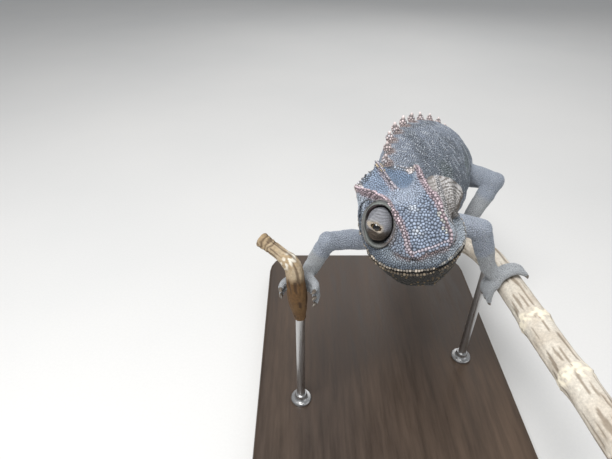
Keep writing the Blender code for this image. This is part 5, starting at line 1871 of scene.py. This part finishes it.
def closed_grid(name, points):
    """A closed object from rings of points, of which the first and the last are single tips."""
    steps, sides = points.shape[:2]
    flat = points[1:-1].reshape(-1, 3)
    here = np.arange((steps - 2) * sides).reshape(steps - 2, sides)
    quads = np.stack(
        [here[:-1], here[1:], np.roll(here[1:], -1, 1), np.roll(here[:-1], -1, 1)], -1
    ).reshape(-1, 4)
    tips = [
        np.stack([here[0], np.roll(here[0], -1), np.full(sides, len(flat))], -1),
        np.stack([np.roll(here[-1], -1), here[-1], np.full(sides, len(flat) + 1)], -1),
    ]
    return solid(name, np.vstack([flat, points[0, :1], points[-1, :1]]), quads, *tips)


# Painted shade: the skin under the lid grains is painted at 0.8 of their tone, as shade between the
# grains.
lid_skin, tree, shader = finish("lid_skin", 0.58)
dress(tree, shader, HIDE, bump=0.5, depth=0.00008, gloss=(0.45, 0.7),
      Grit_Scale=4200.0, Grit=0.35, Gain=0.8)
lid_grain, tree, shader = finish("lid_grain", 0.55)
dress(tree, shader, HIDE, bump=0.2, depth=0.00005, gloss=(0.42, 0.66),
      Grit_Scale=5200.0, Grit=0.2, Gain=1.0)
# The lid grains' rings carry the same painted shade at the rim and painted highlight at the top.
LID_RINGS = ((1.0, -0.05, 0.5), (0.74, 0.68, 0.95))
for side in ("left", "right"):
    points, rows, turns = turret_surface(side, 240, 180)
    turret = closed_grid(f"turret_{side}", points)
    ring_rows = np.repeat(rows[1:-1], len(turns))
    tone = lid_colour(side, ring_rows, np.tile(turns, len(rows) - 2))
    paint(turret, "pigment", np.vstack([tone, tone[:1], tone[-1:]]))
    turret.data.materials.append(lid_skin)
    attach(turret, "root")
    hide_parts(f"eye_turret_{side}")

    dense, rows, turns = turret_surface(side, 600, 720)
    along = np.gradient(dense, axis=0)
    around = np.roll(dense, -1, 1) - np.roll(dense, 1, 1)
    outward = np.cross(around, along)
    outward /= np.maximum(np.linalg.norm(outward, axis=2), 1e-9)[:, :, None]
    centre = next(eye_axes(side))
    half_way = len(dense) // 2
    if (outward[half_way] * (dense[half_way] - centre)).sum() < 0:
        outward = -outward
    profile_run = np.r_[0, np.cumsum(np.linalg.norm(np.diff(dense[:, 180], axis=0), axis=1))]
    start, end = np.searchsorted(rows, (FIRST_GRAIN_ROW + 0.6, LAST_GRAIN_ROW))
    spots = []
    draw = np.random.default_rng(61)
    for k, s in enumerate(np.arange(profile_run[start], profile_run[end], LID_GRAIN)):
        i = int(np.searchsorted(profile_run, s))
        ring = np.linalg.norm(around[i], axis=1) / 2
        far = np.cumsum(ring)
        count = int(far[-1] / 0.47)
        for n in range(count):
            place = (n + 0.5 * (k % 2) + draw.uniform(-0.12, 0.12)) % count
            j = int(np.searchsorted(far, far[-1] * place / count))
            spots.append((i, min(j, len(turns) - 1)))
    i, j = np.array(spots).T
    at, facing = dense[i, j], outward[i, j]
    grain = around[i, j] / np.linalg.norm(around[i, j], axis=1)[:, None]
    grain -= facing * np.einsum("ij,ij->i", grain, facing)[:, None]
    size = np.full(len(at), LID_GRAIN)
    length = np.full(len(at), 1.12)
    tone = lid_colour(side, rows[i], turns[j]) * draw.normal(1.0, 0.12, len(at))[:, None]
    reach, across = boundary(at, facing, grain, length, size, SCALE_SIDES)
    outwards = 0.45 * (rows[i] / len(TURRET_ROWS))
    place = 0.5 + np.stack([outwards * np.cos(turns[j]), outwards * np.sin(turns[j])], -1)
    grains = scale_mesh(
        f"lid_grains_{side}", at, facing, grain, across, length, size, np.full(len(at), 0.11),
        tone, place, reach, LID_RINGS, lid_grain,
    )
    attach(grains, "root")

# ---------------------------------------------------------------- eyeballs
# A glass-bright dark ball behind each opening: a black pupil in a thin ring of gold. In
# the model it is a glass eye, set into its turret from behind.
eye_gloss, tree, shader = finish("eye_gloss", 0.16, Coat_Weight=0.6, Coat_Roughness=0.03)
share = node(tree, "Attribute", {"attribute_name": "from_pupil"}).outputs["Fac"]
fibres = node(tree, "TexNoise", Scale=2600.0, Detail=3.0).outputs["Fac"]
ramp = node(tree, "ValToRGB", Fac=share)
stops = ((0.0, (0.004, 0.004, 0.005)), (0.33, (0.004, 0.004, 0.005)), (0.37, (0.16, 0.10, 0.04)),
         (0.43, (0.08, 0.05, 0.02)), (0.50, (0.018, 0.012, 0.009)), (1.0, (0.02, 0.014, 0.01)))
for k, (at, tone) in enumerate(stops):
    stop = ramp.color_ramp.elements[k] if k < 2 else ramp.color_ramp.elements.new(at)
    stop.position, stop.color = at, (*tone, 1)
speckled = node(tree, "MapRange", Value=fibres, From_Min=0.3, From_Max=0.7, To_Min=0.55, To_Max=1.2)
iris = node(
    tree, "VectorMath", {"operation": "SCALE"}, Vector=ramp.outputs["Color"],
    Scale=speckled.outputs[0],
)
tree.links.new(iris.outputs[0], shader.inputs["Base Color"])
BALL_RADIUS, CORNEA, BALL_DEPTH = 1.6, 0.10, 1.5  # depth of its middle behind the turret's tip
for side in ("left", "right"):
    centre, ahead, level, upright = eye_axes(side)
    centre = centre + ahead * (EYE_RADII[side][0] - BALL_DEPTH)
    if side == "right":
        centre = centre + 0.55 * level - 0.24 * upright
    tilts = np.linspace(0, math.pi, 40)
    turns = np.linspace(0, 2 * math.pi, 64, endpoint=False)
    bulge = BALL_RADIUS + CORNEA * hump(tilts, 0, 0.5)
    points = (
        centre + ahead * (bulge * np.cos(tilts))[:, None, None]
        + (bulge * np.sin(tilts))[:, None, None]
        * (level * np.cos(turns)[:, None] + upright * np.sin(turns)[:, None])
    )
    eyeball = closed_grid(f"eyeball_{side}", points)
    shares = np.repeat(tilts[1:-1] / (math.pi / 2), len(turns))
    paint(eyeball, "from_pupil", np.r_[shares, 0, 2])
    eyeball.data.materials.append(eye_gloss)
    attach(eyeball, "root")
    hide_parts(f"eye_{side}")

# ---------------------------------------------------------------- claws
# Short hooked claws of dark horn, one on each toe, mottled with paler patches. Each one
# carries on from its toe's last stretch and hooks towards the branch.
claw_horn, tree, shader = finish("claw_horn", 0.34, Coat_Weight=0.2, Coat_Roughness=0.2)
dress(
    tree, shader, UNEVEN, bump=0.15, depth=0.00003, Tone=(0.085, 0.070, 0.058, 1),
    Other_Tone=(0.20, 0.165, 0.13, 1), Patch_Scale=700.0, Grit_Scale=3800.0, Grit=0.3,
    Stretch=(1.0, 1.0, 0.35),
)


def claw_path(points):
    """A short hooked claw that carries on from a toe's last stretch."""
    tip = points[-1]
    run = (points[-1] - points[-2]).normalized()
    inwards = points[-1] - 2 * points[-2] + points[-3]
    inwards = (inwards - run * inwards.dot(run)).normalized()
    return [tip + run * 0.2, tip + run * 1.0 + inwards * 0.12, tip + run * 1.85 + inwards * 0.5]


for name in LIMBS:
    bm = bmesh.new()
    for points, radii in every_toe(name):
        claw = tube("claw", claw_path(points), (0.66, 0.52, 0.16), count=12)
        bm.from_mesh(claw.data)
        bpy.data.objects.remove(claw, do_unlink=True)
    claws = mesh_object(f"claws_{name}", bm)
    bpy.context.collection.objects.link(claws)
    claws.data.polygons.foreach_set("use_smooth", np.ones(len(claws.data.polygons), bool))
    claws.data.materials.append(claw_horn)
    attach(claws, "root")
